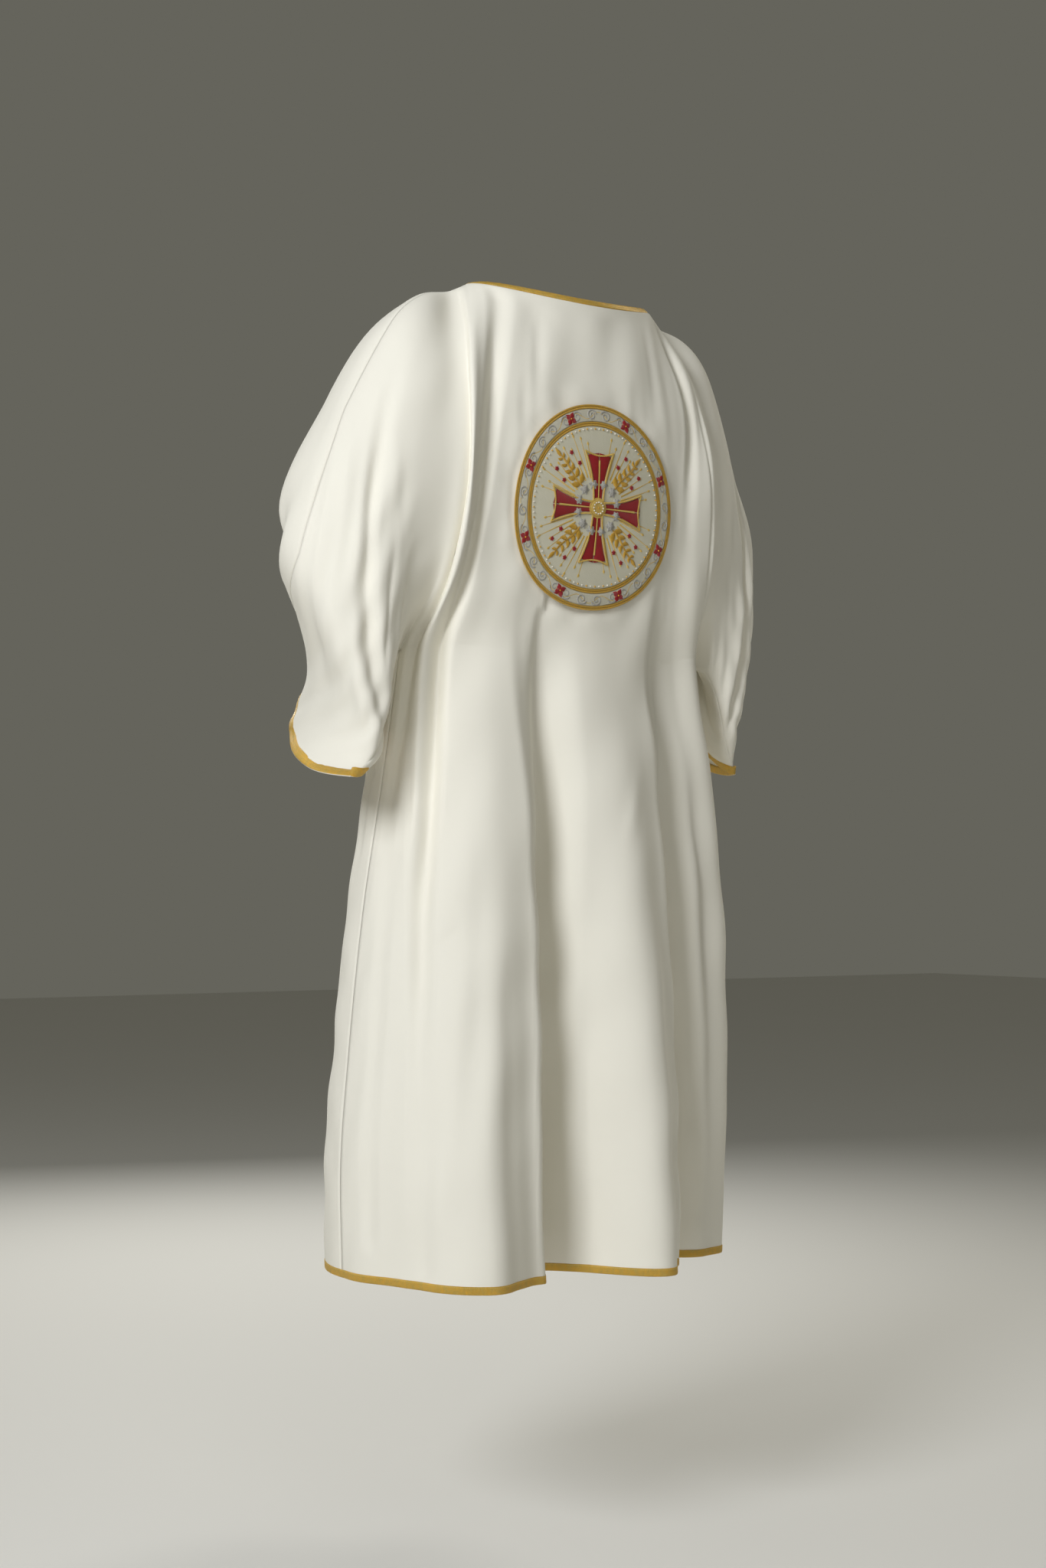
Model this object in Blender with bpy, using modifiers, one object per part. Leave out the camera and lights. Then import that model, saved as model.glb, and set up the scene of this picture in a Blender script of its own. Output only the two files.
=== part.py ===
"""A dalmatic, hollow, in the form that it has when it is worn.

Front and back are each cut in one with half of both sleeves, so the seams are the shoulder and overarm
seam, the underarm seam and the side seam. The origin is the middle of the neck opening at shoulder
height. +X is the wearer's left, +Y their back, +Z up. Lengths are in metres.
"""

import math
from collections import namedtuple

import bmesh
import bpy
import numpy as np

COLLECTION = "dalmatic"

# Cloth, seams and bindings.
WALL = 0.002
BAND_WALL = 0.003
LENGTH = 1.205
NECK_BAND = 0.007
CUFF_BAND = 0.012
HEM_BAND = 0.010

# The neck opening, as the cloth's own edge just outside its binding.
NECK_HALF_WIDTH = 0.130
NECK_BACK_DEPTH = 0.078
NECK_FRONT_DEPTH = 0.105
NECK_BACK_DIP = 0.024
NECK_FRONT_DIP = 0.085
NECK_MIDDLE_Y = -0.018
NECK_TILT_BACK = 76
NECK_TILT_FRONT = 55
NECK_TILT_SHOULDER = 12
NECK_SHARE = 0.125  # the share of a panel's columns between its armhole edge and the neck point
SHOULDER_END = 0.155
SHOULDER_END_DROP = 0.012
SHOULDER_TURN = 0.10  # below its top edge the cloth has turned over the shoulder after this drop
FOLD_START = 0.018  # folds grow from nothing over this drop, so that the seams and the neck stay smooth
FULLNESS = 0.85  # how square a body section is, 1 for an ellipse

# The body's sections, by their drop below the neck. left and right are the half widths at the edges,
# edge is the depth at which those edges lie, opened by armhole to either side above the underarm, and
# back and front are the depths at the middle.
Section = namedtuple("Section", "drop left right edge armhole back front")
SECTIONS = (
    Section(0.00, 0.155, 0.155, -0.018, 0.000, 0.056, -0.120),
    Section(0.09, 0.176, 0.176, -0.037, 0.049, 0.072, -0.170),
    Section(0.17, 0.182, 0.194, -0.048, 0.067, 0.074, -0.215),
    Section(0.29, 0.185, 0.210, -0.056, 0.068, 0.060, -0.240),
    Section(0.37, 0.190, 0.216, -0.056, 0.050, 0.045, -0.245),
    Section(0.444, 0.200, 0.222, -0.058, 0.000, 0.035, -0.250),
    Section(0.58, 0.208, 0.240, -0.080, 0.000, 0.045, -0.255),
    Section(0.76, 0.230, 0.258, -0.095, 0.000, 0.060, -0.262),
    Section(0.94, 0.248, 0.266, -0.100, 0.000, 0.072, -0.270),
    Section(1.06, 0.258, 0.266, -0.100, 0.000, 0.078, -0.275),
    Section(1.21, 0.256, 0.260, -0.100, 0.000, 0.080, -0.280),
)
UNDERARM_DROP = 0.444

# A fold is a trough, or a ridge where it is negative. It runs down its piece through three places,
# each a share across the piece at a drop, with a width to either side and a depth at each place.
# Across a panel the share is 0 at the wearer's left. Across a sleeve it is 0 at the armhole and 1 at
# the cuff, and the drop there is a share too, 0 at the overarm seam and 1 at the underarm seam.
Fold = namedtuple("Fold", "piece across drop widths depths")
FOLDS = (
    Fold("back", (0.054, 0.078, 0.040), (0.03, 0.28, 0.58), (0.018, 0.030), (0.012, 0.020, 0.010)),
    Fold("back", (0.130, 0.118, 0.130), (0.03, 0.28, 0.62), (0.030, 0.030), (-0.004, -0.010, -0.006)),
    Fold("back", (0.240, 0.168, 0.195), (0.03, 0.32, 1.06), (0.026, 0.030), (0.006, 0.020, 0.004)),
    Fold("back", (0.270, 0.290, 0.305), (0.44, 0.80, 1.21), (0.160, 0.075), (0.000, -0.024, -0.056)),
    Fold("back", (0.370, 0.410, 0.438), (0.40, 0.70, 1.21), (0.030, 0.125), (0.002, 0.030, 0.092)),
    Fold("back", (0.550, 0.585, 0.600), (0.48, 0.80, 1.21), (0.080, 0.050), (0.000, -0.014, -0.040)),
    Fold("back", (0.688, 0.686, 0.708), (0.37, 0.72, 1.21), (0.028, 0.075), (0.004, 0.028, 0.066)),
    Fold("back", (0.800, 0.850, 0.850), (0.30, 0.60, 1.21), (0.050, 0.060), (-0.002, -0.028, -0.022)),
    Fold("back", (0.790, 0.800, 0.760), (0.04, 0.11, 0.26), (0.018, 0.020), (0.004, 0.010, 0.002)),
    Fold("back", (0.900, 0.945, 0.950), (0.04, 0.20, 0.50), (0.025, 0.022), (0.006, 0.014, 0.008)),
    Fold("front", (0.080, 0.085, 0.060), (0.06, 0.28, 0.58), (0.022, 0.030), (0.008, 0.016, 0.010)),
    Fold("front", (0.260, 0.200, 0.230), (0.08, 0.40, 1.21), (0.035, 0.040), (0.006, 0.018, 0.040)),
    Fold("front", (0.320, 0.310, 0.330), (0.40, 0.80, 1.21), (0.070, 0.070), (0.000, -0.015, -0.035)),
    Fold("front", (0.400, 0.440, 0.450), (0.36, 0.74, 1.21), (0.060, 0.060), (0.002, 0.018, 0.055)),
    Fold("front", (0.580, 0.570, 0.580), (0.44, 0.80, 1.21), (0.080, 0.060), (0.000, -0.016, -0.040)),
    Fold("front", (0.700, 0.690, 0.700), (0.34, 0.74, 1.21), (0.055, 0.050), (0.002, 0.020, 0.050)),
    Fold("front", (0.800, 0.840, 0.850), (0.10, 0.50, 1.21), (0.045, 0.050), (0.006, -0.012, -0.024)),
    Fold("front", (0.915, 0.930, 0.940), (0.06, 0.28, 0.58), (0.030, 0.022), (0.008, 0.014, 0.008)),
    Fold("left back", (0.330, 0.540, 0.680), (0.22, 0.45, 0.95), (0.040, 0.034), (0.003, 0.009, 0.004)),
    Fold("left back", (0.520, 0.760, 0.920), (0.10, 0.34, 0.62), (0.030, 0.030), (0.002, 0.005, 0.002)),
    Fold("left back", (0.130, 0.190, 0.260), (0.10, 0.45, 0.90), (0.036, 0.036), (0.001, 0.004, 0.002)),
    Fold("left front", (0.400, 0.560, 0.700), (0.12, 0.40, 0.85), (0.030, 0.030), (0.002, 0.012, 0.006)),
    Fold("right back", (0.300, 0.520, 0.660), (0.20, 0.45, 0.95), (0.028, 0.028), (0.004, 0.012, 0.006)),
    Fold("right back", (0.520, 0.740, 0.880), (0.08, 0.34, 0.66), (0.024, 0.024), (0.003, 0.008, 0.003)),
    Fold("right front", (0.400, 0.560, 0.700), (0.12, 0.40, 0.85), (0.030, 0.030), (0.002, 0.012, 0.006)),
)

# The sleeves' sections from the armhole to the cuff. over and under are the places of the overarm and
# underarm seams, and back and front how far each half bows from the straight line between them. A
# section is widest nearer the overarm seam where lean is positive, and nearer the underarm below 0.
Ring = namedtuple("Ring", "over under back front lean")
LEFT_RINGS = (
    Ring((0.198, -0.026, -0.022), (0.225, -0.024, -0.448), (0.0, 0.060, 0.0), (0.0, -0.095, 0.0), 0.45),
    Ring((0.243, -0.030, -0.060), (0.238, -0.012, -0.462), (0.0, 0.062, 0.0), (0.0, -0.095, 0.0), 0.45),
    Ring((0.292, -0.044, -0.155), (0.243, -0.004, -0.488), (0.0, 0.060, 0.0), (0.012, -0.090, 0.0), 0.45),
    Ring((0.334, -0.055, -0.248), (0.250, 0.000, -0.522), (0.0, 0.054, 0.0), (0.008, -0.076, 0.0), 0.45),
    Ring((0.347, -0.086, -0.338), (0.258, 0.000, -0.556), (0.012, 0.040, 0.0), (-0.036, -0.026, 0.0), 0.20),
    Ring((0.286, -0.168, -0.378), (0.272, 0.000, -0.582), (0.016, 0.010, 0.0), (-0.050, -0.010, 0.0), 0.00),
    Ring((0.16, -0.27, -0.43), (0.3, 0.0, -0.602), (0.034, -0.08, 0.0), (-0.026, 0.006, -0.01), -0.4),
)
RIGHT_RINGS = (
    Ring((0.198, -0.030, -0.024), (0.240, -0.030, -0.448), (0.0, 0.058, 0.0), (0.0, -0.095, 0.0), 0.45),
    Ring((0.240, -0.044, -0.068), (0.252, -0.028, -0.460), (0.0, 0.054, 0.0), (0.0, -0.095, 0.0), 0.45),
    Ring((0.280, -0.060, -0.155), (0.262, -0.028, -0.480), (0.0, 0.052, 0.0), (0.0, -0.090, 0.0), 0.45),
    Ring((0.318, -0.070, -0.245), (0.272, -0.030, -0.508), (0.0, 0.050, 0.0), (-0.008, -0.060, 0.0), 0.45),
    Ring((0.324, -0.100, -0.325), (0.284, -0.036, -0.538), (0.014, 0.032, 0.0), (-0.032, -0.030, 0.0), 0.20),
    Ring((0.275, -0.180, -0.362), (0.298, -0.042, -0.562), (0.022, 0.0, 0.0), (-0.034, -0.014, 0.0), 0.00),
    Ring((0.238, -0.275, -0.365), (0.312, -0.05, -0.58), (0.02, -0.076, -0.01), (-0.018, 0.006, -0.008), -0.4),
)

# How finely the pieces are divided.
PANEL_COLUMNS = {"back": 48, "front": 40}
ARMHOLE_ROWS = 14
SKIRT_ROWS = 9
SLEEVE_STEPS = 10
SIDES = {"back": 1, "front": -1}
HANDS = {"left": 1, "right": -1}

# Where pieces meet at an angle, their edges are cut back further, down to this half angle in degrees.
SHARPEST_SEAM = 13
MOST_SLANT = 0.4
SEAM_ROOM = 0.0004
BAND_SEAM = 0.0003
CUFF_SEAM = 0.0018

# The embroidered medallion on the back: a field and a border between gold cords, and a cross.
MEDALLION_ACROSS = 0.490
MEDALLION_DROP = 0.270
MEDALLION_LIFT = 0.0018
FIELD_RADIUS = 0.0960
BORDER_RADIUS = 0.1165
CORD_WIDTH = 0.0050
APPLIQUE = 0.0015
CORD_HEIGHT = 0.0026
PIECE_GAP = 0.0004
CROSS_ARM = 0.066
CROSS_WAIST = 0.007
CROSS_FLARE = 0.021
CROSS_HEIGHT = 0.0020
CROSS_STEPS = 3
CROSS_CORE = 0.35
DISC_SPOKES = 40
DISC_MIDDLE = 0.008


def flow(table, column, at):
    """Read one column of a table of sections at the drops in at, as a smooth curve."""
    knots = np.array([row.drop for row in table])
    values = np.array([getattr(row, column) for row in table])
    return smooth(knots, values, at)


def smooth(knots, values, at):
    """A cubic curve through values at knots. values may be an array of points at each knot."""
    at = np.clip(at, knots[0], knots[-1])
    slopes = np.gradient(values, knots, axis=0)
    i = np.clip(np.searchsorted(knots, at, side="right") - 1, 0, len(knots) - 2)
    shape = at.shape + (1,) * (values.ndim - 1)
    step = (knots[i + 1] - knots[i]).reshape(shape)
    t = (at - knots[i]).reshape(shape) / step
    start = (2 * t**3 - 3 * t**2 + 1) * values[i] + (t**3 - 2 * t**2 + t) * step * slopes[i]
    return start + (3 * t**2 - 2 * t**3) * values[i + 1] + (t**3 - t**2) * step * slopes[i + 1]


def neck_edge(side, angle):
    """The cloth's neck edge. Its angle runs from 0 at the wearer's left shoulder to pi at their right."""
    depth = NECK_BACK_DEPTH if side == "back" else NECK_FRONT_DEPTH
    dip = NECK_BACK_DIP if side == "back" else NECK_FRONT_DIP
    around = np.abs(np.sin(angle))
    x = NECK_HALF_WIDTH * np.cos(angle)
    y = NECK_MIDDLE_Y + SIDES[side] * depth * around
    return np.stack([x, y, -dip * around**1.5], axis=-1)


def top_edge(side, across):
    """A panel's top edge: shoulder seam, neck edge, shoulder seam."""
    inner = np.clip((across - NECK_SHARE) / (1 - 2 * NECK_SHARE), 0, 1)
    outer = np.clip(np.maximum(NECK_SHARE - across, across - 1 + NECK_SHARE) / NECK_SHARE, 0, 1)
    hand = np.where(across < 0.5, 1.0, -1.0)
    level = np.ones_like(hand)
    end = [hand * SHOULDER_END, level * SECTIONS[0].edge, -level * SHOULDER_END_DROP]
    edge = neck_edge(side, np.pi * inner)
    return edge + (np.stack(end, axis=-1) - edge) * outer[..., None]


def plain_panel(side, across, down):
    """The front or back without its folds. down runs from 0 at the top edge to 1 at the hem."""
    top = top_edge(side, across)
    drop = -top[..., 2] + (LENGTH + top[..., 2]) * down
    left, right = flow(SECTIONS, "left", drop), flow(SECTIONS, "right", drop)
    edge = flow(SECTIONS, "edge", drop) + SIDES[side] * np.maximum(flow(SECTIONS, "armhole", drop), 0)
    middle = flow(SECTIONS, side, drop)
    angle = np.pi * across
    x = (left - right) / 2 + (left + right) / 2 * np.cos(angle)
    y = edge + (middle - edge) * np.abs(np.sin(angle)) ** FULLNESS
    turn = np.clip((drop + top[..., 2]) / SHOULDER_TURN, 0, 1)
    eased = np.sqrt(1 - (1 - turn) ** 2)
    x = top[..., 0] + (x - top[..., 0]) * eased
    y = top[..., 1] + (y - top[..., 1]) * eased
    return np.stack([x, y, -drop], axis=-1)


def fold_depth(piece, across, drop, girth):
    """How far a piece's folds draw it in. girth is the length of cloth that across 0 to 1 stands for."""
    total = np.zeros_like(drop)
    for fold in FOLDS:
        if fold.piece != piece:
            continue
        places = np.array(fold.drop)
        path = smooth(places, np.array(fold.across), drop)
        deep = smooth(places, np.array(fold.depths), drop)
        away = (across - path) * girth
        width = np.where(away < 0, fold.widths[0], fold.widths[1])
        beyond = np.maximum(places[0] - drop, drop - places[-1]) / (places[-1] - places[0])
        total += deep * hump(away / width) * hump(np.clip(beyond, 0, 1) * 3)
    return total


def hump(distance):
    """A soft hump, 1 at 0 and nothing past 1 to either side."""
    return 0.5 + 0.5 * np.cos(np.pi * np.clip(distance, -1, 1))


def outward(points, inside):
    """The directions in which a grid of points faces, away from the points inside it."""
    down, along = np.gradient(points, axis=0), np.gradient(points, axis=1)
    facing = np.cross(down, along)
    facing /= np.maximum(np.linalg.norm(facing, axis=-1, keepdims=True), 1e-12)
    away = np.sum(facing * (points - inside), axis=-1, keepdims=True)
    return facing * np.where(away.mean() < 0, -1.0, 1.0)


def panel(side, across, down):
    """A grid of points on the front or back, folds and all."""
    plain = plain_panel(side, across, down)
    drop = -plain[..., 2]
    girth = np.pi * (flow(SECTIONS, "left", drop) + flow(SECTIONS, "right", drop)) / 2
    fade = np.sin(np.pi * np.clip(across, 0, 1)) ** 0.3 * np.clip(down * LENGTH / FOLD_START, 0, 1)
    depth = fold_depth(side, across, drop, girth) * fade
    inside = plain * np.array([0, 0, 1]) + np.array([0, (SECTIONS[3].back + SECTIONS[3].front) / 2, 0])
    facing = outward(plain, inside) * np.array([1, 1, 0])
    return plain - facing * depth[..., None]


def armhole_down(around):
    """How far down a panel the armhole's points lie, from the shoulder seam to the underarm."""
    drop = SHOULDER_END_DROP + (UNDERARM_DROP - SHOULDER_END_DROP) * (1 - np.cos(np.pi * around)) / 2
    return (drop - SHOULDER_END_DROP) / (LENGTH - SHOULDER_END_DROP)


def sleeve(hand, side, along, around):
    """A grid of points on half a sleeve, along it from the armhole and around it from the overarm."""
    angle = np.pi * around
    share = ((1 - np.cos(angle)) / 2)[:, None]
    edge = np.full_like(around, 0.0 if hand == "left" else 1.0)
    rings = [plain_panel(side, edge, armhole_down(around))]
    for ring in LEFT_RINGS if hand == "left" else RIGHT_RINGS:
        over, under = np.array(ring.over), np.array(ring.under)
        bow = np.array(getattr(ring, side))
        stand = (np.sin(angle) * (1 + ring.lean * np.cos(angle)))[:, None]
        rings.append((over + (under - over) * share + bow * stand) * np.array([HANDS[hand], 1, 1]))
    plain = smooth(np.linspace(0, 1, len(rings)), np.stack(rings), along)
    steps = np.linalg.norm(np.diff(plain, axis=0), axis=-1).sum(axis=0).mean()
    across, drop = np.meshgrid(along, around, indexing="ij")
    depth = fold_depth(hand + " " + side, across, drop, steps)
    depth *= np.sin(np.pi * across) ** 0.5 * np.sin(np.pi * drop) ** 0.5
    inside = plain[:, :1] * 0.5 + plain[:, -1:] * 0.5
    return plain - outward(plain, inside) * depth[..., None]


def trimmed(points, start=0.0, first=0.0, last=0.0):
    """Cut a grid's borders back: start is its first row, and first and last its outer columns."""
    points = points.copy()
    points[0] += np.reshape(start, (-1, 1)) * unit(points[1] - points[0])
    for edge, beside, cut in ((0, 1, first), (-1, -2, last)):
        points[:, edge] += np.reshape(cut, (-1, 1)) * unit(points[:, beside] - points[:, edge])
    return points


def seam_cut(edge, inner, outer, wall=WALL):
    """How far a piece is cut back at an edge, where its neighbour leaves that edge towards outer."""
    line = unit(np.gradient(edge, axis=0))
    ways = [unit(points - edge) for points in (inner, outer)]
    square = [way - line * np.sum(way * line, axis=-1, keepdims=True) for way in ways]
    between = np.sum(unit(square[0]) * unit(square[1]), axis=-1)
    half = np.maximum(np.arccos(np.clip(between, -1, 1)) / 2, math.radians(SHARPEST_SEAM))
    slant = np.maximum(np.linalg.norm(square[0], axis=-1), MOST_SLANT)
    return (SEAM_ROOM + wall / 2 / np.tan(half)) / slant


def unit(ways):
    return ways / np.maximum(np.linalg.norm(ways, axis=-1, keepdims=True), 1e-12)


def panel_rows():
    """How far down a panel its rows lie: at the armhole's points, then down the skirt."""
    armhole = armhole_down(np.linspace(0, 1, ARMHOLE_ROWS + 1))
    skirt = armhole[-1] + (1 - armhole[-1]) * np.linspace(0, 1, SKIRT_ROWS + 1)[1:]
    return np.concatenate([armhole, skirt])


def panel_grid(side):
    """A panel's points, down to the finished hem."""
    across = np.linspace(0, 1, PANEL_COLUMNS[side] + 1)
    return panel(side, *np.meshgrid(across, panel_rows()))


def sleeve_grid(hand, side):
    """Half a sleeve's points, out to the finished cuff."""
    return sleeve(hand, side, np.linspace(0, 1, SLEEVE_STEPS + 1), np.linspace(0, 1, ARMHOLE_ROWS + 1))


def set_in(edge, beside, distance):
    """The points that lie a distance in from an edge, towards the row beside it."""
    return edge + distance * unit(beside - edge)


def finish(name, colour, roughness, metallic):
    """The plain material of one piece."""
    material = bpy.data.materials.new(name)
    material.use_nodes = True
    shader = material.node_tree.nodes["Principled BSDF"]
    shader.inputs["Base Color"].default_value = (*colour, 1.0)
    shader.inputs["Roughness"].default_value = roughness
    shader.inputs["Metallic"].default_value = metallic
    return material


def add_piece(collection, name, points, wall, material, ring=False, offset=0.0):
    """Make a solid wall on a grid of points. A ring's last column meets its first."""
    rows, columns = points.shape[:2]
    shape = bmesh.new()
    corners = [[shape.verts.new(place) for place in row] for row in points.tolist()]
    for i in range(rows - 1):
        for j in range(columns if ring else columns - 1):
            k = (j + 1) % columns
            shape.faces.new((corners[i][j], corners[i + 1][j], corners[i + 1][k], corners[i][k]))
    mesh = bpy.data.meshes.new(name)
    shape.to_mesh(mesh)
    shape.free()
    mesh.materials.append(material)
    mesh.shade_smooth()
    piece = bpy.data.objects.new(name, mesh)
    collection.objects.link(piece)
    solid = piece.modifiers.new("wall", "SOLIDIFY")
    solid.thickness = wall
    solid.offset = offset
    return piece


def neck_way(side, angle):
    """The way that the neck binding turns from the cloth: flat on the shoulders and upright behind."""
    edge = neck_edge(side, angle)
    upright = NECK_TILT_BACK if side == "back" else NECK_TILT_FRONT
    tilt = np.radians(NECK_TILT_SHOULDER + (upright - NECK_TILT_SHOULDER) * np.sin(angle))[..., None]
    middle = np.array([0, NECK_MIDDLE_Y, 0]) + edge * np.array([0, 0, 1])
    return unit(middle - edge) * np.cos(tilt) + np.array([0, 0, 1]) * np.sin(tilt)


def panel_cuts(side, points):
    """How far a panel is cut back along its top and its two edges."""
    across = np.linspace(0, 1, points.shape[1])
    other_side = "front" if side == "back" else "back"
    other = panel(other_side, *np.meshgrid(across, panel_rows()))
    inner_angle = np.pi * np.clip((across - NECK_SHARE) / (1 - 2 * NECK_SHARE), 0, 1)
    binding = points[0] + neck_way(side, inner_angle) * NECK_BAND
    on_shoulder = np.abs(across - 0.5) > 0.499 - NECK_SHARE
    beyond = np.where(on_shoulder[:, None], other[1], binding)
    top = seam_cut(points[0], points[1], beyond)
    edges = []
    for hand, edge, beside in (("left", 0, 1), ("right", -1, -2)):
        beyond = other[:, beside].copy()
        beyond[: ARMHOLE_ROWS + 1] = sleeve_grid(hand, side)[1]
        edges.append(seam_cut(points[:, edge], points[:, beside], beyond))
    return top, edges


def add_panels(collection, cloth):
    """The front and the back, between the armhole edges."""
    for side in SIDES:
        points = panel_grid(side)
        top, (left, right) = panel_cuts(side, points)
        points[-1] = set_in(points[-1], points[-2], HEM_BAND + BAND_SEAM)
        add_piece(collection, side, trimmed(points, start=top, first=left, last=right), WALL, cloth)


def add_sleeves(collection, cloth):
    """The halves of both sleeves, cut in one with the panels and parted from them at the armhole."""
    for hand in HANDS:
        beside = 1 if hand == "left" else -2
        for side, other_side in (("back", "front"), ("front", "back")):
            points, other = sleeve_grid(hand, side), sleeve_grid(hand, other_side)
            body = panel_grid(side)[: ARMHOLE_ROWS + 1, beside]
            cuts = {
                "start": seam_cut(points[0], points[1], body),
                "first": seam_cut(points[:, 0], points[:, 1], other[:, 1]),
                "last": seam_cut(points[:, -1], points[:, -2], other[:, -2]),
            }
            points[-1] = set_in(points[-1], points[-2], CUFF_BAND + CUFF_SEAM)
            add_piece(collection, f"{hand}_sleeve_{side}", trimmed(points, **cuts), WALL, cloth)


def add_neck_binding(collection, gold):
    """The binding turns in from the cloth's neck edge."""
    starts = []
    ends = []
    for side in SIDES:
        columns = round(PANEL_COLUMNS[side] * (1 - 2 * NECK_SHARE))
        angle = np.linspace(0, np.pi, columns + 1)
        edge, way = neck_edge(side, angle), neck_way(side, angle)
        across = NECK_SHARE + (1 - 2 * NECK_SHARE) * angle / np.pi
        cloth = panel(side, *np.meshgrid(across, panel_rows()))[1]
        cut = seam_cut(edge, edge + way, cloth, BAND_WALL)[:, None]
        order = slice(None, None, 1 if side == "back" else -1)
        starts.append((edge + way * cut)[order][:-1])
        ends.append((edge + way * NECK_BAND)[order][:-1])
    points = np.stack([np.concatenate(starts), np.concatenate(ends)])
    add_piece(collection, "neck_binding", points, BAND_WALL, gold, ring=True)


def add_cuff_bindings(collection, gold):
    for hand in HANDS:
        back, front = sleeve_grid(hand, "back"), sleeve_grid(hand, "front")
        loop = np.concatenate([back[:, :-1], front[:, :0:-1]], axis=1)
        points = np.stack([set_in(loop[-1], loop[-2], CUFF_BAND), loop[-1]])
        add_piece(collection, f"{hand}_cuff_binding", points, BAND_WALL, gold, ring=True)


def add_hem_binding(collection, gold):
    back, front = panel_grid("back"), panel_grid("front")
    loop = np.concatenate([back[-2:, :-1], front[-2:, :0:-1]], axis=1)
    points = np.stack([set_in(loop[1], loop[0], HEM_BAND), loop[1]])
    add_piece(collection, "hem_binding", points, BAND_WALL, gold, ring=True)


def on_back(sideways, up, lift):
    """Points on the back around the medallion's middle, lifted off the cloth."""
    step = 0.004
    rate = np.pi * (flow(SECTIONS, "left", MEDALLION_DROP) + flow(SECTIONS, "right", MEDALLION_DROP)) / 2
    places = []
    for shift, raise_by in ((0, 0), (step, 0), (0, step)):
        across = MEDALLION_ACROSS + (sideways + shift) / rate
        top = top_edge("back", across)[..., 2]
        down = (MEDALLION_DROP - up - raise_by + top) / (LENGTH + top)
        places.append(plain_panel("back", across, down))
    facing = unit(np.cross(places[2] - places[0], places[1] - places[0]))
    facing *= np.where(facing[..., 1:2] < 0, -1.0, 1.0)
    return places[0] + facing * lift


def add_ring(collection, name, inner, outer, height, material, rings=1):
    """A flat ring of the medallion, or a disc with a small closed middle where inner is 0."""
    angle = np.linspace(0, 2 * np.pi, DISC_SPOKES, endpoint=False)
    radius = np.linspace(max(inner, DISC_MIDDLE), outer, rings + 1)[:, None]
    points = on_back(radius * np.cos(angle), radius * np.sin(angle), MEDALLION_LIFT + height / 2)
    piece = add_piece(collection, name, points, height, material, ring=True)
    if inner == 0:
        shape = bmesh.new()
        shape.from_mesh(piece.data)
        shape.verts.ensure_lookup_table()
        shape.faces.new([shape.verts[i] for i in range(DISC_SPOKES)])
        bmesh.ops.recalc_face_normals(shape, faces=shape.faces)
        shape.to_mesh(piece.data)
        shape.free()
    return piece


def add_cross(collection, gold):
    """A cross with four arms that widen outwards, raised on the medallion's field."""
    quarter = []
    for turn in range(4):
        cos, sin = math.cos(turn * math.pi / 2), math.sin(turn * math.pi / 2)
        for x, y in ((CROSS_WAIST, -CROSS_WAIST), (CROSS_ARM, -CROSS_FLARE), (CROSS_ARM, CROSS_FLARE)):
            quarter.append((x * cos - y * sin, x * sin + y * cos))
    outline = np.array(quarter)
    steps = np.linspace(0, 1, CROSS_STEPS, endpoint=False)[:, None, None]
    after = np.roll(outline, -1, axis=0)
    outline = (outline + (after - outline) * steps).transpose(1, 0, 2).reshape(-1, 2)
    shares = np.array([CROSS_CORE, 1.0])[:, None]
    lift = MEDALLION_LIFT + APPLIQUE + PIECE_GAP + CROSS_HEIGHT / 2
    points = on_back(shares * outline[:, 0], shares * outline[:, 1], lift)
    piece = add_piece(collection, "medallion_cross", points, CROSS_HEIGHT, gold, ring=True)
    shape = bmesh.new()
    shape.from_mesh(piece.data)
    shape.verts.ensure_lookup_table()
    shape.faces.new([shape.verts[i] for i in range(len(outline))])
    bmesh.ops.recalc_face_normals(shape, faces=shape.faces)
    shape.to_mesh(piece.data)
    shape.free()


def add_medallion(collection, gold):
    """The medallion's pieces lie side by side on the back, and its cross on the field."""
    field = finish("pale embroidery ground", (0.80, 0.79, 0.68), 0.7, 0.0)
    silver = finish("silver grey border", (0.58, 0.57, 0.53), 0.55, 0.1)
    cord_inner = FIELD_RADIUS + PIECE_GAP
    border_inner = cord_inner + CORD_WIDTH + PIECE_GAP
    add_ring(collection, "medallion_field", 0, FIELD_RADIUS, APPLIQUE, field, rings=4)
    add_ring(collection, "medallion_inner_cord", cord_inner, cord_inner + CORD_WIDTH, CORD_HEIGHT, gold)
    add_ring(collection, "medallion_border", border_inner, BORDER_RADIUS, APPLIQUE, silver)
    cord_outer = BORDER_RADIUS + PIECE_GAP
    add_ring(collection, "medallion_outer_cord", cord_outer, cord_outer + CORD_WIDTH, CORD_HEIGHT, gold)
    add_cross(collection, gold)


def main():
    for thing in list(bpy.data.objects):
        bpy.data.objects.remove(thing)
    collection = bpy.data.collections.new(COLLECTION)
    bpy.context.scene.collection.children.link(collection)
    cloth = finish("ivory wool", (0.83, 0.81, 0.70), 0.85, 0.0)
    gold = finish("gold metallic tape", (0.72, 0.50, 0.14), 0.42, 0.6)
    add_panels(collection, cloth)
    add_sleeves(collection, cloth)
    add_neck_binding(collection, gold)
    add_cuff_bindings(collection, gold)
    add_hem_binding(collection, gold)
    add_medallion(collection, gold)


main()
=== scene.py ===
"""A dalmatic as it is worn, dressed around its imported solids.

The cloth, its bindings, sewing and embroidery are made here. Lengths are in metres. The origin is the
middle of the neck opening at shoulder height, +X the wearer's left, +Y their back and +Z up.
"""

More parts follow.
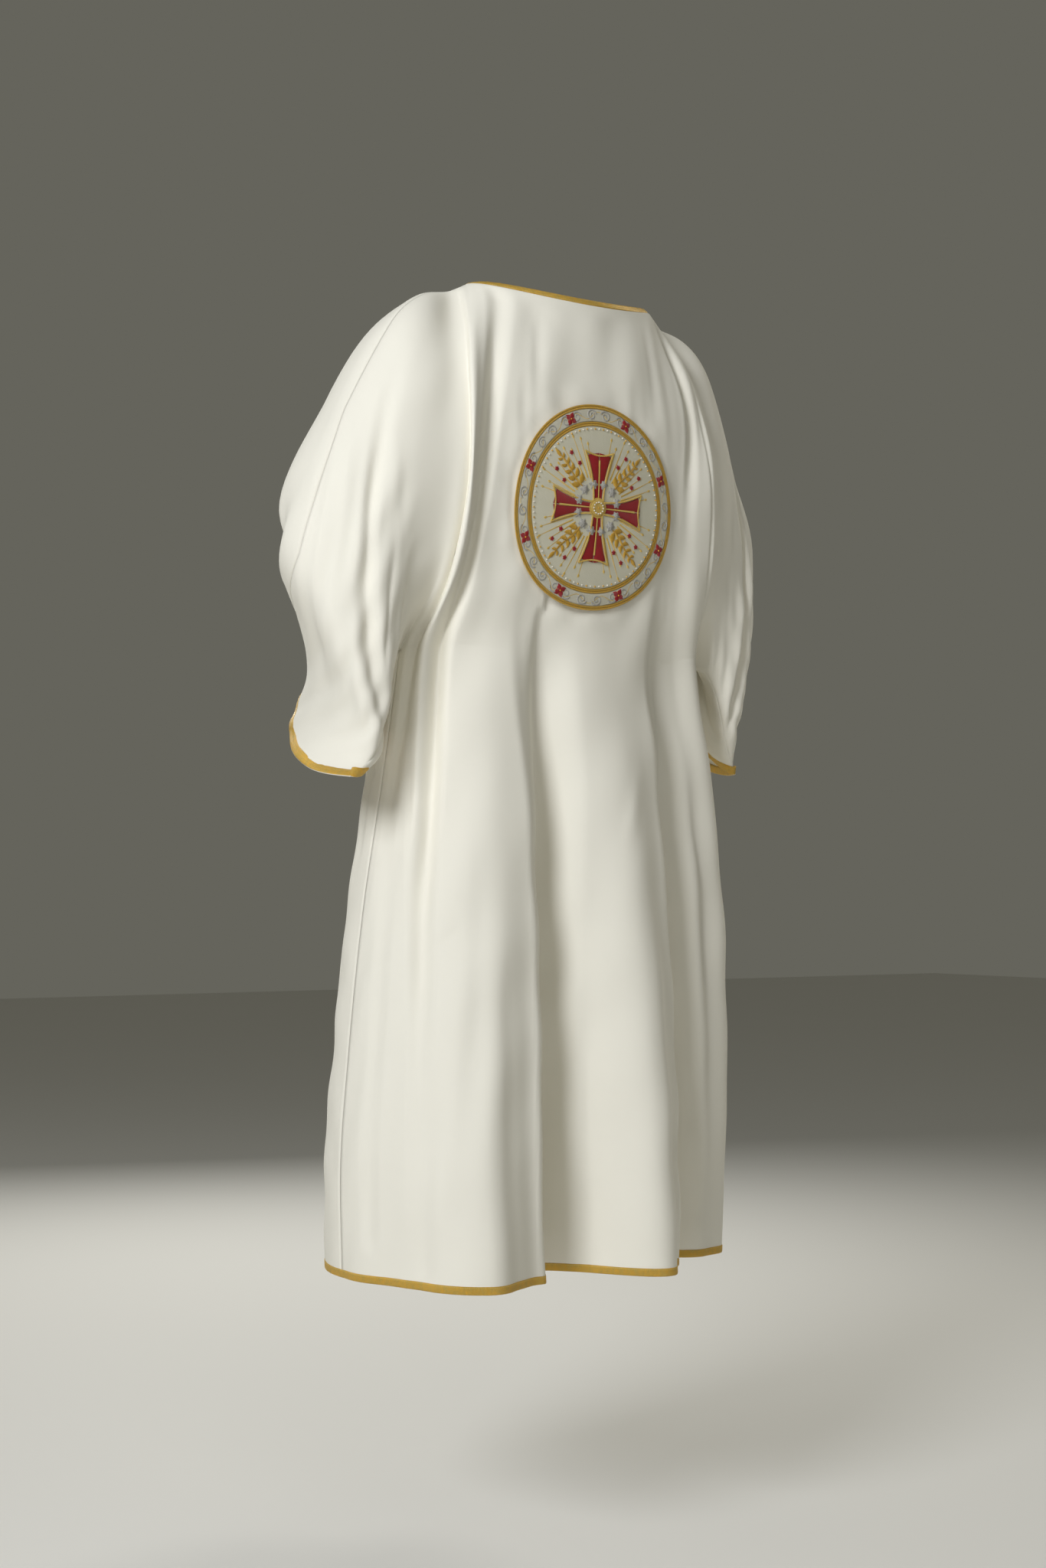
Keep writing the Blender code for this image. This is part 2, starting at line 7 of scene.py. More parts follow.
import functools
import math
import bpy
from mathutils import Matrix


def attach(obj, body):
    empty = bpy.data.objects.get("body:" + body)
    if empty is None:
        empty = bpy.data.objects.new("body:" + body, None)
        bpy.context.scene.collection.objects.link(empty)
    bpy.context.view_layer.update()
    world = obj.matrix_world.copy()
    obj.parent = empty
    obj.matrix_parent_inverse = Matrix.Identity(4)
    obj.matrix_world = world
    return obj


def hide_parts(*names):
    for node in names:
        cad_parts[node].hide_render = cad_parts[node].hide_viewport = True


bl_info = {
    "name": "Worn dalmatic",
    "version": (1, 0, 0),
    "blender": (4, 5, 0),
    "location": "View3D > Sidebar > Dalmatic",
    "description": "Makes a cream dalmatic with gold bindings and an embroidered medallion",
    "category": "Object",
}

from collections import namedtuple

import bpy
import numpy as np
from mathutils import Vector

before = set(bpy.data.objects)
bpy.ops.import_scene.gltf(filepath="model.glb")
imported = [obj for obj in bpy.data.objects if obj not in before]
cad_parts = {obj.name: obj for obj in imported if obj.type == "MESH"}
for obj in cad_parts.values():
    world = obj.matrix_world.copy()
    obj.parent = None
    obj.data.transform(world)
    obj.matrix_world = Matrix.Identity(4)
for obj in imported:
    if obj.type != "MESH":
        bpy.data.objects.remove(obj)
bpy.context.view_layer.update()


ROOT = "root"

# The cut and its edges.
LENGTH = 1.205
NECK_BAND = 0.007
CUFF_BAND = 0.012
HEM_BAND = 0.01

# The neck opening, as the cloth's own edge just outside its binding.
NECK_HALF_WIDTH = 0.13
NECK_BACK_DEPTH = 0.078
NECK_FRONT_DEPTH = 0.105
NECK_BACK_DIP = 0.024
NECK_FRONT_DIP = 0.085
NECK_MIDDLE_Y = -0.018
NECK_TILT_BACK = 76
NECK_TILT_FRONT = 55
NECK_TILT_SHOULDER = 12
NECK_SHARE = 0.125  # the share of a panel's columns between its armhole edge and the neck point
SHOULDER_END = 0.155
SHOULDER_END_DROP = 0.012
SHOULDER_TURN = 0.1  # below its top edge the cloth has turned over the shoulder after this drop
FOLD_START = 0.018  # folds grow from nothing over this drop, so that the seams and the neck stay smooth
FULLNESS = 0.85  # how square a body section is, 1 for an ellipse

# The body's sections, by their drop below the neck. left and right are the half widths at the edges,
# edge is the depth at which those edges lie, opened by armhole to either side above the underarm, and
# back and front are the depths at the middle.
Section = namedtuple("Section", "drop left right edge armhole back front")
SECTIONS = (
    Section(0.0, 0.155, 0.155, -0.018, 0.0, 0.056, -0.12),
    Section(0.09, 0.176, 0.176, -0.037, 0.049, 0.072, -0.17),
    Section(0.17, 0.182, 0.194, -0.048, 0.067, 0.074, -0.215),
    Section(0.29, 0.185, 0.21, -0.056, 0.068, 0.06, -0.24),
    Section(0.37, 0.19, 0.216, -0.056, 0.05, 0.045, -0.245),
    Section(0.444, 0.2, 0.222, -0.058, 0.0, 0.035, -0.25),
    Section(0.58, 0.208, 0.24, -0.08, 0.0, 0.045, -0.255),
    Section(0.76, 0.23, 0.258, -0.095, 0.0, 0.06, -0.262),
    Section(0.94, 0.248, 0.266, -0.1, 0.0, 0.072, -0.27),
    Section(1.06, 0.258, 0.266, -0.1, 0.0, 0.078, -0.275),
    Section(1.21, 0.256, 0.26, -0.1, 0.0, 0.08, -0.28),
)
UNDERARM_DROP = 0.444

# A fold is a trough, or a ridge where it is negative. It runs down its piece through three places,
# each a share across the piece at a drop, with a width to either side and a depth at each place.
# Across a panel the share is 0 at the wearer's left. Across a sleeve it is 0 at the armhole and 1 at
# the cuff, and the drop there is a share too, 0 at the overarm seam and 1 at the underarm seam.
Fold = namedtuple("Fold", "across drop widths depths")
FOLDS = {
    "back": (
        Fold((0.054, 0.078, 0.04), (0.03, 0.28, 0.58), (0.018, 0.03), (0.012, 0.02, 0.01)),
        Fold((0.13, 0.118, 0.13), (0.03, 0.28, 0.62), (0.03, 0.03), (-0.004, -0.01, -0.006)),
        Fold((0.24, 0.168, 0.195), (0.03, 0.32, 1.06), (0.026, 0.03), (0.006, 0.02, 0.004)),
        Fold((0.27, 0.29, 0.305), (0.44, 0.8, 1.21), (0.16, 0.075), (0.0, -0.024, -0.056)),
        Fold((0.37, 0.41, 0.438), (0.4, 0.7, 1.21), (0.03, 0.125), (0.002, 0.03, 0.092)),
        Fold((0.55, 0.585, 0.6), (0.48, 0.8, 1.21), (0.08, 0.05), (0.0, -0.014, -0.04)),
        Fold((0.688, 0.686, 0.708), (0.37, 0.72, 1.21), (0.028, 0.075), (0.004, 0.028, 0.066)),
        Fold((0.8, 0.85, 0.85), (0.3, 0.6, 1.21), (0.05, 0.06), (-0.002, -0.028, -0.022)),
        Fold((0.79, 0.8, 0.76), (0.04, 0.11, 0.26), (0.018, 0.02), (0.004, 0.01, 0.002)),
        Fold((0.9, 0.945, 0.95), (0.04, 0.2, 0.5), (0.025, 0.022), (0.006, 0.014, 0.008)),
    ),
    "front": (
        Fold((0.08, 0.085, 0.06), (0.06, 0.28, 0.58), (0.022, 0.03), (0.008, 0.016, 0.01)),
        Fold((0.26, 0.2, 0.23), (0.08, 0.4, 1.21), (0.035, 0.04), (0.006, 0.018, 0.04)),
        Fold((0.32, 0.31, 0.33), (0.4, 0.8, 1.21), (0.07, 0.07), (0.0, -0.015, -0.035)),
        Fold((0.4, 0.44, 0.45), (0.36, 0.74, 1.21), (0.06, 0.06), (0.002, 0.018, 0.055)),
        Fold((0.58, 0.57, 0.58), (0.44, 0.8, 1.21), (0.08, 0.06), (0.0, -0.016, -0.04)),
        Fold((0.7, 0.69, 0.7), (0.34, 0.74, 1.21), (0.055, 0.05), (0.002, 0.02, 0.05)),
        Fold((0.8, 0.84, 0.85), (0.1, 0.5, 1.21), (0.045, 0.05), (0.006, -0.012, -0.024)),
        Fold((0.915, 0.93, 0.94), (0.06, 0.28, 0.58), (0.03, 0.022), (0.008, 0.014, 0.008)),
    ),
    "left back": (
        Fold((0.33, 0.54, 0.68), (0.22, 0.45, 0.95), (0.04, 0.034), (0.003, 0.009, 0.004)),
        Fold((0.52, 0.76, 0.92), (0.1, 0.34, 0.62), (0.03, 0.03), (0.002, 0.005, 0.002)),
        Fold((0.13, 0.19, 0.26), (0.1, 0.45, 0.9), (0.036, 0.036), (0.001, 0.004, 0.002)),
    ),
    "left front": (
        Fold((0.4, 0.56, 0.7), (0.12, 0.4, 0.85), (0.03, 0.03), (0.002, 0.012, 0.006)),
    ),
    "right back": (
        Fold((0.3, 0.52, 0.66), (0.2, 0.45, 0.95), (0.028, 0.028), (0.004, 0.012, 0.006)),
        Fold((0.52, 0.74, 0.88), (0.08, 0.34, 0.66), (0.024, 0.024), (0.003, 0.008, 0.003)),
    ),
    "right front": (
        Fold((0.4, 0.56, 0.7), (0.12, 0.4, 0.85), (0.03, 0.03), (0.002, 0.012, 0.006)),
    ),
}

# The sleeves' sections from the armhole to the cuff. over and under are the places of the overarm and
# underarm seams, and back and front how far each half bows from the straight line between them. A
# section is widest nearer the overarm seam where lean is positive, and nearer the underarm below 0.
Ring = namedtuple("Ring", "over under back front lean")
LEFT_RINGS = (
    Ring((0.198, -0.026, -0.022), (0.225, -0.024, -0.448), (0.0, 0.06, 0.0), (0.0, -0.095, 0.0), 0.45),
    Ring((0.243, -0.03, -0.06), (0.238, -0.012, -0.462), (0.0, 0.062, 0.0), (0.0, -0.095, 0.0), 0.45),
    Ring((0.292, -0.044, -0.155), (0.243, -0.004, -0.488), (0.0, 0.06, 0.0), (0.012, -0.09, 0.0), 0.45),
    Ring((0.334, -0.055, -0.248), (0.25, 0.0, -0.522), (0.0, 0.054, 0.0), (0.008, -0.076, 0.0), 0.45),
    Ring((0.347, -0.086, -0.338), (0.258, 0.0, -0.556), (0.012, 0.04, 0.0), (-0.036, -0.026, 0.0), 0.2),
    Ring((0.286, -0.168, -0.378), (0.272, 0.0, -0.582), (0.016, 0.01, 0.0), (-0.05, -0.01, 0.0), 0.0),
    Ring((0.16, -0.27, -0.43), (0.3, 0.0, -0.602), (0.034, -0.08, 0.0), (-0.026, 0.006, -0.01), -0.4),
)
RIGHT_RINGS = (
    Ring((0.198, -0.03, -0.024), (0.24, -0.03, -0.448), (0.0, 0.058, 0.0), (0.0, -0.095, 0.0), 0.45),
    Ring((0.24, -0.044, -0.068), (0.252, -0.028, -0.46), (0.0, 0.054, 0.0), (0.0, -0.095, 0.0), 0.45),
    Ring((0.28, -0.06, -0.155), (0.262, -0.028, -0.48), (0.0, 0.052, 0.0), (0.0, -0.09, 0.0), 0.45),
    Ring((0.318, -0.07, -0.245), (0.272, -0.03, -0.508), (0.0, 0.05, 0.0), (-0.008, -0.06, 0.0), 0.45),
    Ring((0.324, -0.1, -0.325), (0.284, -0.036, -0.538), (0.014, 0.032, 0.0), (-0.032, -0.03, 0.0), 0.2),
    Ring((0.275, -0.18, -0.362), (0.298, -0.042, -0.562), (0.022, 0.0, 0.0), (-0.034, -0.014, 0.0), 0.0),
    Ring(
        (0.238, -0.275, -0.365), (0.312, -0.05, -0.58), (0.02, -0.076, -0.01), (-0.018, 0.006, -0.008), -0.4
    ),
)

# Finer creases, in the cloth only. They are laid out as the folds are.
CREASES = {
    "back": (
        Fold((0.4, 0.411, 0.417), (0.4, 0.58, 0.84), (0.014, 0.058), (0.006, 0.015, 0.006)),
        Fold((0.722, 0.726, 0.728), (0.62, 0.86, 1.18), (0.01, 0.046), (0.002, 0.008, 0.012)),
        Fold((0.388, 0.414, 0.428), (0.39, 0.72, 1.12), (0.018, 0.06), (0.001, 0.0205, 0.019)),
        Fold((0.706, 0.714, 0.718), (0.4, 0.66, 1.02), (0.016, 0.055), (0.001, 0.0145, 0.016)),
        Fold((0.349, 0.44, 0.53), (0.052, 0.064, 0.067), (0.03, 0.03), (0.0008, 0.0014, 0.0006)),
        Fold((0.355, 0.347, 0.339), (0.06, 0.1, 0.15), (0.012, 0.016), (0.0011, 0.0019, 0.0008)),
        Fold((0.311, 0.307, 0.312), (0.13, 0.165, 0.215), (0.012, 0.014), (0.0006, 0.0014, 0.0004)),
        Fold((0.601, 0.593, 0.6), (0.11, 0.15, 0.2), (0.012, 0.016), (0.0004, 0.0012, 0.0004)),
        Fold((0.737, 0.712, 0.697), (0.035, 0.11, 0.23), (0.016, 0.018), (0.0009, 0.0015, 0.0005)),
        Fold((0.68, 0.665, 0.655), (0.045, 0.09, 0.15), (0.01, 0.014), (0.0006, 0.001, 0.0003)),
        Fold((0.2, 0.218, 0.242), (0.808, 0.797, 0.781), (0.008, 0.01), (0.0009, 0.0016, 0.0009)),
        Fold((0.595, 0.571, 0.551), (0.59, 0.638, 0.68), (0.014, 0.02), (-0.0004, -0.0018, -0.0004)),
        Fold((0.287, 0.28, 0.262), (0.7, 0.93, 1.11), (0.026, 0.03), (0.0008, 0.0037, 0.0015)),
        Fold((0.225, 0.215, 0.205), (0.86, 1.0, 1.18), (0.018, 0.022), (0.0003, 0.0023, 0.003)),
        Fold((0.33, 0.335, 0.345), (0.82, 0.96, 1.2), (0.014, 0.018), (0.0003, 0.0018, 0.003)),
        Fold((0.48, 0.5, 0.515), (0.76, 0.9, 1.19), (0.016, 0.02), (0.0004, 0.0025, 0.0037)),
        Fold((0.62, 0.625, 0.64), (0.7, 0.88, 1.17), (0.016, 0.016), (0.0003, 0.0023, 0.0023)),
        Fold((0.092, 0.104, 0.09), (0.05, 0.18, 0.38), (0.008, 0.01), (0.0006, 0.0011, 0.0005)),
        Fold((0.155, 0.14, 0.15), (0.07, 0.26, 0.52), (0.01, 0.014), (0.0005, 0.0013, 0.0005)),
        Fold((0.07, 0.12, 0.16), (0.52, 0.66, 0.82), (0.014, 0.02), (0.0008, 0.003, 0.0008)),
        Fold((0.06, 0.075, 0.08), (0.64, 0.86, 1.15), (0.022, 0.028), (0.0008, 0.0045, 0.0053)),
        Fold((0.74, 0.76, 0.77), (0.56, 0.8, 1.15), (0.014, 0.018), (0.0004, 0.0025, 0.003)),
        Fold((0.86, 0.88, 0.875), (0.08, 0.25, 0.42), (0.01, 0.014), (0.0009, 0.0025, 0.0009)),
        Fold((0.93, 0.925, 0.915), (0.64, 0.88, 1.16), (0.02, 0.026), (0.0008, 0.0045, 0.0045)),
    ),
    "front": (
        Fold((0.15, 0.165, 0.15), (0.08, 0.26, 0.52), (0.012, 0.016), (0.0013, 0.0031, 0.0013)),
        Fold((0.86, 0.85, 0.865), (0.08, 0.26, 0.52), (0.014, 0.012), (0.0013, 0.0032, 0.0013)),
        Fold((0.36, 0.4, 0.42), (0.11, 0.15, 0.23), (0.016, 0.02), (0.0007, 0.002, 0.0005)),
        Fold((0.64, 0.605, 0.58), (0.11, 0.16, 0.25), (0.016, 0.02), (0.0007, 0.0018, 0.0005)),
        Fold((0.48, 0.5, 0.51), (0.14, 0.2, 0.3), (0.02, 0.024), (0.0005, 0.0016, 0.0004)),
        Fold((0.37, 0.372, 0.38), (0.62, 0.86, 1.18), (0.018, 0.022), (0.0005, 0.0036, 0.0054)),
        Fold((0.51, 0.505, 0.515), (0.56, 0.86, 1.18), (0.022, 0.024), (0.0005, 0.0045, 0.0063)),
        Fold((0.64, 0.64, 0.65), (0.6, 0.86, 1.18), (0.018, 0.02), (0.0005, 0.0036, 0.0045)),
        Fold((0.12, 0.14, 0.15), (0.56, 0.82, 1.16), (0.02, 0.026), (0.0007, 0.0045, 0.0063)),
        Fold((0.78, 0.765, 0.76), (0.56, 0.82, 1.16), (0.02, 0.022), (0.0007, 0.0041, 0.0054)),
    ),
    "left back": (
        Fold((0.502, 0.618, 0.904), (0.175, 0.313, 0.46), (0.018, 0.034), (0.0008, 0.003, 0.0012)),
        Fold((0.43, 0.522, 0.655), (0.225, 0.305, 0.43), (0.024, 0.022), (0.001, 0.0032, 0.0012)),
        Fold((0.289, 0.333, 0.325), (0.225, 0.43, 0.6), (0.012, 0.018), (0.0008, 0.0024, 0.0006)),
        Fold((0.245, 0.229, 0.193), (0.21, 0.273, 0.335), (0.008, 0.01), (0.0003, 0.0011, 0.0003)),
        Fold((0.084, 0.17, 0.285), (0.64, 0.66, 0.66), (0.016, 0.02), (0.0006, 0.0019, 0.0006)),
        Fold((0.62, 0.7, 0.8), (0.48, 0.56, 0.64), (0.012, 0.018), (0.0006, 0.002, 0.0006)),
        Fold((0.4, 0.48, 0.56), (0.56, 0.64, 0.74), (0.012, 0.018), (0.0004, 0.0017, 0.0006)),
        Fold((0.78, 0.86, 0.95), (0.25, 0.3, 0.33), (0.012, 0.016), (0.0003, 0.0013, 0.0004)),
        Fold((0.7, 0.8, 0.94), (0.72, 0.78, 0.8), (0.012, 0.018), (0.0003, 0.0014, 0.0006)),
    ),
    "left front": (
        Fold((0.48, 0.62, 0.76), (0.22, 0.33, 0.4), (0.012, 0.018), (0.0009, 0.004, 0.0009)),
        Fold((0.3, 0.36, 0.42), (0.3, 0.48, 0.68), (0.014, 0.018), (0.0009, 0.0036, 0.0009)),
        Fold((0.7, 0.8, 0.92), (0.48, 0.56, 0.6), (0.012, 0.016), (0.0005, 0.0027, 0.0009)),
    ),
    "right back": (
        Fold((0.44, 0.53, 0.64), (0.24, 0.32, 0.43), (0.022, 0.02), (0.0004, 0.0012, 0.0004)),
        Fold((0.28, 0.32, 0.33), (0.24, 0.43, 0.62), (0.02, 0.026), (0.0004, 0.0012, 0.0004)),
        Fold((0.64, 0.74, 0.88), (0.52, 0.58, 0.62), (0.018, 0.026), (0.0003, 0.0009, 0.0003)),
        Fold((0.1, 0.18, 0.27), (0.56, 0.64, 0.7), (0.02, 0.026), (0.0003, 0.0008, 0.0003)),
    ),
    "right front": (
        Fold((0.48, 0.62, 0.76), (0.22, 0.33, 0.4), (0.012, 0.018), (0.0009, 0.004, 0.0009)),
        Fold((0.3, 0.36, 0.42), (0.3, 0.48, 0.68), (0.014, 0.018), (0.0009, 0.0036, 0.0009)),
    ),
}

# Where the overarm seam lies on a sleeve: its share of the way round from the top towards the
# underarm on the back half, at shares of the way to the cuff.
SEAM_ALONG = (0.0, 0.16, 0.3, 0.44, 0.49, 0.57, 0.63, 0.68, 0.84, 1.0)
SEAM_AROUND = (0.0, 0.05, 0.083, 0.084, 0.11, 0.138, 0.17, 0.2, 0.19, 0.14)

SIDES = {"back": 1, "front": -1}
HANDS = {"left": 1, "right": -1}
TURN = 2 * math.pi
QUARTER = math.pi / 2

# The grids of the cloth.
ARMHOLE_ROWS = 74
SKIRT_ROWS = 116
PANEL_COLUMNS = 156
SLEEVE_STEPS = 66
SLEEVE_LENGTH = 0.43
SLEEVE_TAPER = 0.92
SEAM_ALLOWANCE = 0.01
FLAT_WIDTH = 0.8  # the body's width on the flat cloth, where the weave is laid out
LOOP_POINTS = 240  # points read along each half of a sleeve's section before they are shared out
CREASE_STEPS = 8  # straight bits in a crease's bent line

# The waves of worn cloth, which fade out near an edge, and the dips beside its seams.
CLOTH_WAVE = 0.0011
WAVE_LENGTHS = (0.11, 0.09)  # on the body and on the sleeves
WAVE_SEEDS = {"back": (11, 21), "front": (12, 22)}
WAVES = 9
EDGE_FADE = 0.02
SEAM_DIP = 0.0007
SEAM_REACH = 0.003
SIDE_SEAM = 0.15  # the side seams' share of that dip

# Where a sleeve leaves the body the cloth is drawn tight, over columns to either side of the armhole
# in passes, and raised. Rows are a middle and a reach, as shares of the armhole's height.
JOIN_REACH = (26, 16)
JOIN_PASSES = 90
JOIN_FEW = 12
JOIN_ROWS = (0.42, 0.46)
JOIN_FEW_ROWS = (0.5, 0.6)
SPAN_RISES = (0.03, 0.021)
SPAN_COLUMNS = (7, 35)
SPAN_ROWS = (0.5, 0.44)

# The bindings' sections.
BAND_SIDES = 14
BAND_SPACING = 0.0035

# The patch on the back: a field and a border between gold cords, and a cross.
MEDALLION_ACROSS = 0.49
MEDALLION_DROP = 0.27
MEDALLION_LIFT = 0.0018
FIELD_RADIUS = 0.096
BORDER_RADIUS = 0.1165
CORD_WIDTH = 0.005
APPLIQUE = 0.0015
PIECE_GAP = 0.0004
CROSS_ARM = 0.066
CROSS_WAIST = 0.007
CROSS_FLARE = 0.021
CROSS_HEIGHT = 0.002
CROSS_START = 0.009  # where its arms begin to widen

# Places worked out from those. Lifts are heights off the cloth.
MEDALLION_RADIUS = BORDER_RADIUS + CORD_WIDTH
GROUND = MEDALLION_LIFT + APPLIQUE
GROUND_BASE = MEDALLION_LIFT * 0.4
STITCH_BASE = GROUND - 0.0003
RIM_OUTER = BORDER_RADIUS + PIECE_GAP + CORD_WIDTH / 2
RIM_INNER = FIELD_RADIUS + PIECE_GAP + CORD_WIDTH / 2
BORDER_INNER = FIELD_RADIUS + CORD_WIDTH + 2 * PIECE_GAP
BORDER_MIDDLE = (BORDER_INNER + BORDER_RADIUS) / 2

# The embroidery.
SATIN_RISE = 0.001
SATIN_PITCH = 0.00055
SATIN_SLANT = 0.35
ROPE_RADIUS = 0.0014
ROPE_PITCH = 0.0042
FLORETS = 8
RAYS = 5
RAY_STEP = 0.112
RAY_TIPS = (0.92, 0.78, 0.86)
SPRIG_LEAVES = 5
WREATH_FLOWERS = 12
WREATH_RADIUS = 0.0285
WREATH_LAYERS = ((1.0, 0.0), (0.62, 0.0011), (0.3, 0.0018))  # size and lift of each round of petals
BUD_PLACES = ((0.058, 0.27), (0.074, 0.2))  # distance from the middle and turn off the diagonal

# The studio. Each light has a name, a place, a width and a colour, and all face one place.
CAMERA_PLACE = (1.512, 2.237, -0.737)
CAMERA_TURN = 147.0
HORIZON_SHIFT = 0.0688
LIGHTS_AIM = (0.0, 0.0, -0.6)
LIGHTS = (
    ("key", (3.06, 1.5, 1.0), 1.5, (0.98, 1.0, 1.03)),
    ("front", (1.1, 3.2, 1.0), 1.6, (1.0, 0.99, 0.94)),
    ("rim", (-2.4, -0.5, 0.9), 0.8, (1.0, 0.97, 0.9)),
    ("far side", (-0.9, -3.1, 0.7), 1.4, (1.0, 0.99, 0.94)),
)
ROOM_COLOUR = (0.93, 0.91, 0.76, 1.0)
FLOOR_REACH = 14.0
FLOOR_SHADE = (0.7, 0.69, 0.66)


def flow(table, column, at):
    """Read one column of a table of sections at the drops in at, as a smooth curve."""
    knots = np.array([row.drop for row in table])
    values = np.array([getattr(row, column) for row in table])
    return smooth(knots, values, at)


def smooth(knots, values, at):
    """A cubic curve through values at knots. values may be an array of points at each knot."""
    at = np.clip(at, knots[0], knots[-1])
    slopes = np.gradient(values, knots, axis=0)
    i = np.clip(np.searchsorted(knots, at, side="right") - 1, 0, len(knots) - 2)
    shape = at.shape + (1,) * (values.ndim - 1)
    step = (knots[i + 1] - knots[i]).reshape(shape)
    t = (at - knots[i]).reshape(shape) / step
    start = (2 * t**3 - 3 * t**2 + 1) * values[i] + (t**3 - 2 * t**2 + t) * step * slopes[i]
    return start + (3 * t**2 - 2 * t**3) * values[i + 1] + (t**3 - t**2) * step * slopes[i + 1]


def neck_edge(side, angle):
    """The cloth's neck edge. Its angle runs from 0 at the wearer's left shoulder to pi at their right."""
    depth = NECK_BACK_DEPTH if side == "back" else NECK_FRONT_DEPTH
    dip = NECK_BACK_DIP if side == "back" else NECK_FRONT_DIP
    around = np.abs(np.sin(angle))
    x = NECK_HALF_WIDTH * np.cos(angle)
    y = NECK_MIDDLE_Y + SIDES[side] * depth * around
    return np.stack([x, y, -dip * around**1.5], axis=-1)


def top_edge(side, across):
    """A panel's top edge: shoulder seam, neck edge, shoulder seam."""
    inner = np.clip((across - NECK_SHARE) / (1 - 2 * NECK_SHARE), 0, 1)
    outer = np.clip(np.maximum(NECK_SHARE - across, across - 1 + NECK_SHARE) / NECK_SHARE, 0, 1)
    hand = np.where(across < 0.5, 1.0, -1.0)
    level = np.ones_like(hand)
    end = [hand * SHOULDER_END, level * SECTIONS[0].edge, -level * SHOULDER_END_DROP]
    edge = neck_edge(side, np.pi * inner)
    return edge + (np.stack(end, axis=-1) - edge) * outer[..., None]


def plain_panel(side, across, down):
    """The front or back without its folds. down runs from 0 at the top edge to 1 at the hem."""
    top = top_edge(side, across)
    drop = -top[..., 2] + (LENGTH + top[..., 2]) * down
    left, right = flow(SECTIONS, "left", drop), flow(SECTIONS, "right", drop)
    edge = flow(SECTIONS, "edge", drop) + SIDES[side] * np.maximum(flow(SECTIONS, "armhole", drop), 0)
    middle = flow(SECTIONS, side, drop)
    angle = np.pi * across
    x = (left - right) / 2 + (left + right) / 2 * np.cos(angle)
    y = edge + (middle - edge) * np.abs(np.sin(angle)) ** FULLNESS
    turn = np.clip((drop + top[..., 2]) / SHOULDER_TURN, 0, 1)
    eased = np.sqrt(1 - (1 - turn) ** 2)
    x = top[..., 0] + (x - top[..., 0]) * eased
    y = top[..., 1] + (y - top[..., 1]) * eased
    return np.stack([x, y, -drop], axis=-1)


def fold_depth(piece, across, drop, girth):
    """How far a piece's folds draw it in. girth is the length of cloth that across 0 to 1 stands for."""
    total = np.zeros_like(drop)
    for fold in FOLDS.get(piece, ()):
        places = np.array(fold.drop)
        path = smooth(places, np.array(fold.across), drop)
        deep = smooth(places, np.array(fold.depths), drop)
        away = (across - path) * girth
        width = np.where(away < 0, fold.widths[0], fold.widths[1])
        beyond = np.maximum(places[0] - drop, drop - places[-1]) / (places[-1] - places[0])
        total += deep * hump(away / width) * hump(np.clip(beyond, 0, 1) * 3)
    return total


def crease_depth(piece, across, drop, girth, fall):
    """How deep a piece's creases lie: soft troughs along short bent lines, ridges where negative.

    girth and fall are the lengths of cloth that 0 to 1 stands for across the piece and down it.
    """
    total = np.zeros_like(drop)
    thirds = np.array([0, 0.5, 1])
    bits = np.linspace(0, 1, CREASE_STEPS + 1)
    for crease in CREASES.get(piece, ()):
        path = smooth(thirds, np.stack([crease.across, crease.drop], axis=-1), bits)
        nearest, share, side = np.full_like(drop, np.inf), np.zeros_like(drop), np.zeros_like(drop)
        for number, (start, end) in enumerate(zip(path[:-1], path[1:])):
            way_x, way_y = (end[0] - start[0]) * girth, (end[1] - start[1]) * fall
            x, y = (across - start[0]) * girth, (drop - start[1]) * fall
            at = np.clip((x * way_x + y * way_y) / (way_x**2 + way_y**2), 0, 1)
            away = np.hypot(x - at * way_x, y - at * way_y)
            closer = away < nearest
            nearest = np.where(closer, away, nearest)
            share = np.where(closer, (number + at) / CREASE_STEPS, share)
            side = np.where(closer, way_x * y - way_y * x, side)
        width = np.where(side > 0, crease.widths[0], crease.widths[1])
        total += smooth(thirds, np.array(crease.depths), share) * hump(nearest / width)
    return total


def hump(distance):
    """A soft hump, 1 at 0 and nothing past 1 to either side."""
    return 0.5 + 0.5 * np.cos(np.pi * np.clip(distance, -1, 1))


def outward(points, inside):
    """The directions in which a grid of points faces, away from the points inside it."""
    down, along = np.gradient(points, axis=0), np.gradient(points, axis=1)
    facing = np.cross(down, along)
    facing /= np.maximum(np.linalg.norm(facing, axis=-1, keepdims=True), 1e-12)
    away = np.sum(facing * (points - inside), axis=-1, keepdims=True)
    return facing * np.where(away.mean() < 0, -1.0, 1.0)


def girth_at(drop):
    """The length of cloth that a panel spans at a drop."""
    return np.pi * (flow(SECTIONS, "left", drop) + flow(SECTIONS, "right", drop)) / 2


def panel(side, across, down):
    """A grid of points on the front or back, folds and all."""
    plain = plain_panel(side, across, down)
    drop = -plain[..., 2]
    girth = girth_at(drop)
    fade = np.sin(np.pi * np.clip(across, 0, 1)) ** 0.3 * np.clip(down * LENGTH / FOLD_START, 0, 1)
    depth = fade * (fold_depth(side, across, drop, girth) + crease_depth(side, across, drop, girth, 1.0))
    inside = plain * np.array([0, 0, 1]) + np.array([0, (SECTIONS[3].back + SECTIONS[3].front) / 2, 0])
    facing = outward(plain, inside) * np.array([1, 1, 0])
    return plain - facing * depth[..., None]


def armhole_down(around):
    """How far down a panel the armhole's points lie, from the shoulder seam to the underarm."""
    drop = SHOULDER_END_DROP + (UNDERARM_DROP - SHOULDER_END_DROP) * (1 - np.cos(np.pi * around)) / 2
    return (drop - SHOULDER_END_DROP) / (LENGTH - SHOULDER_END_DROP)


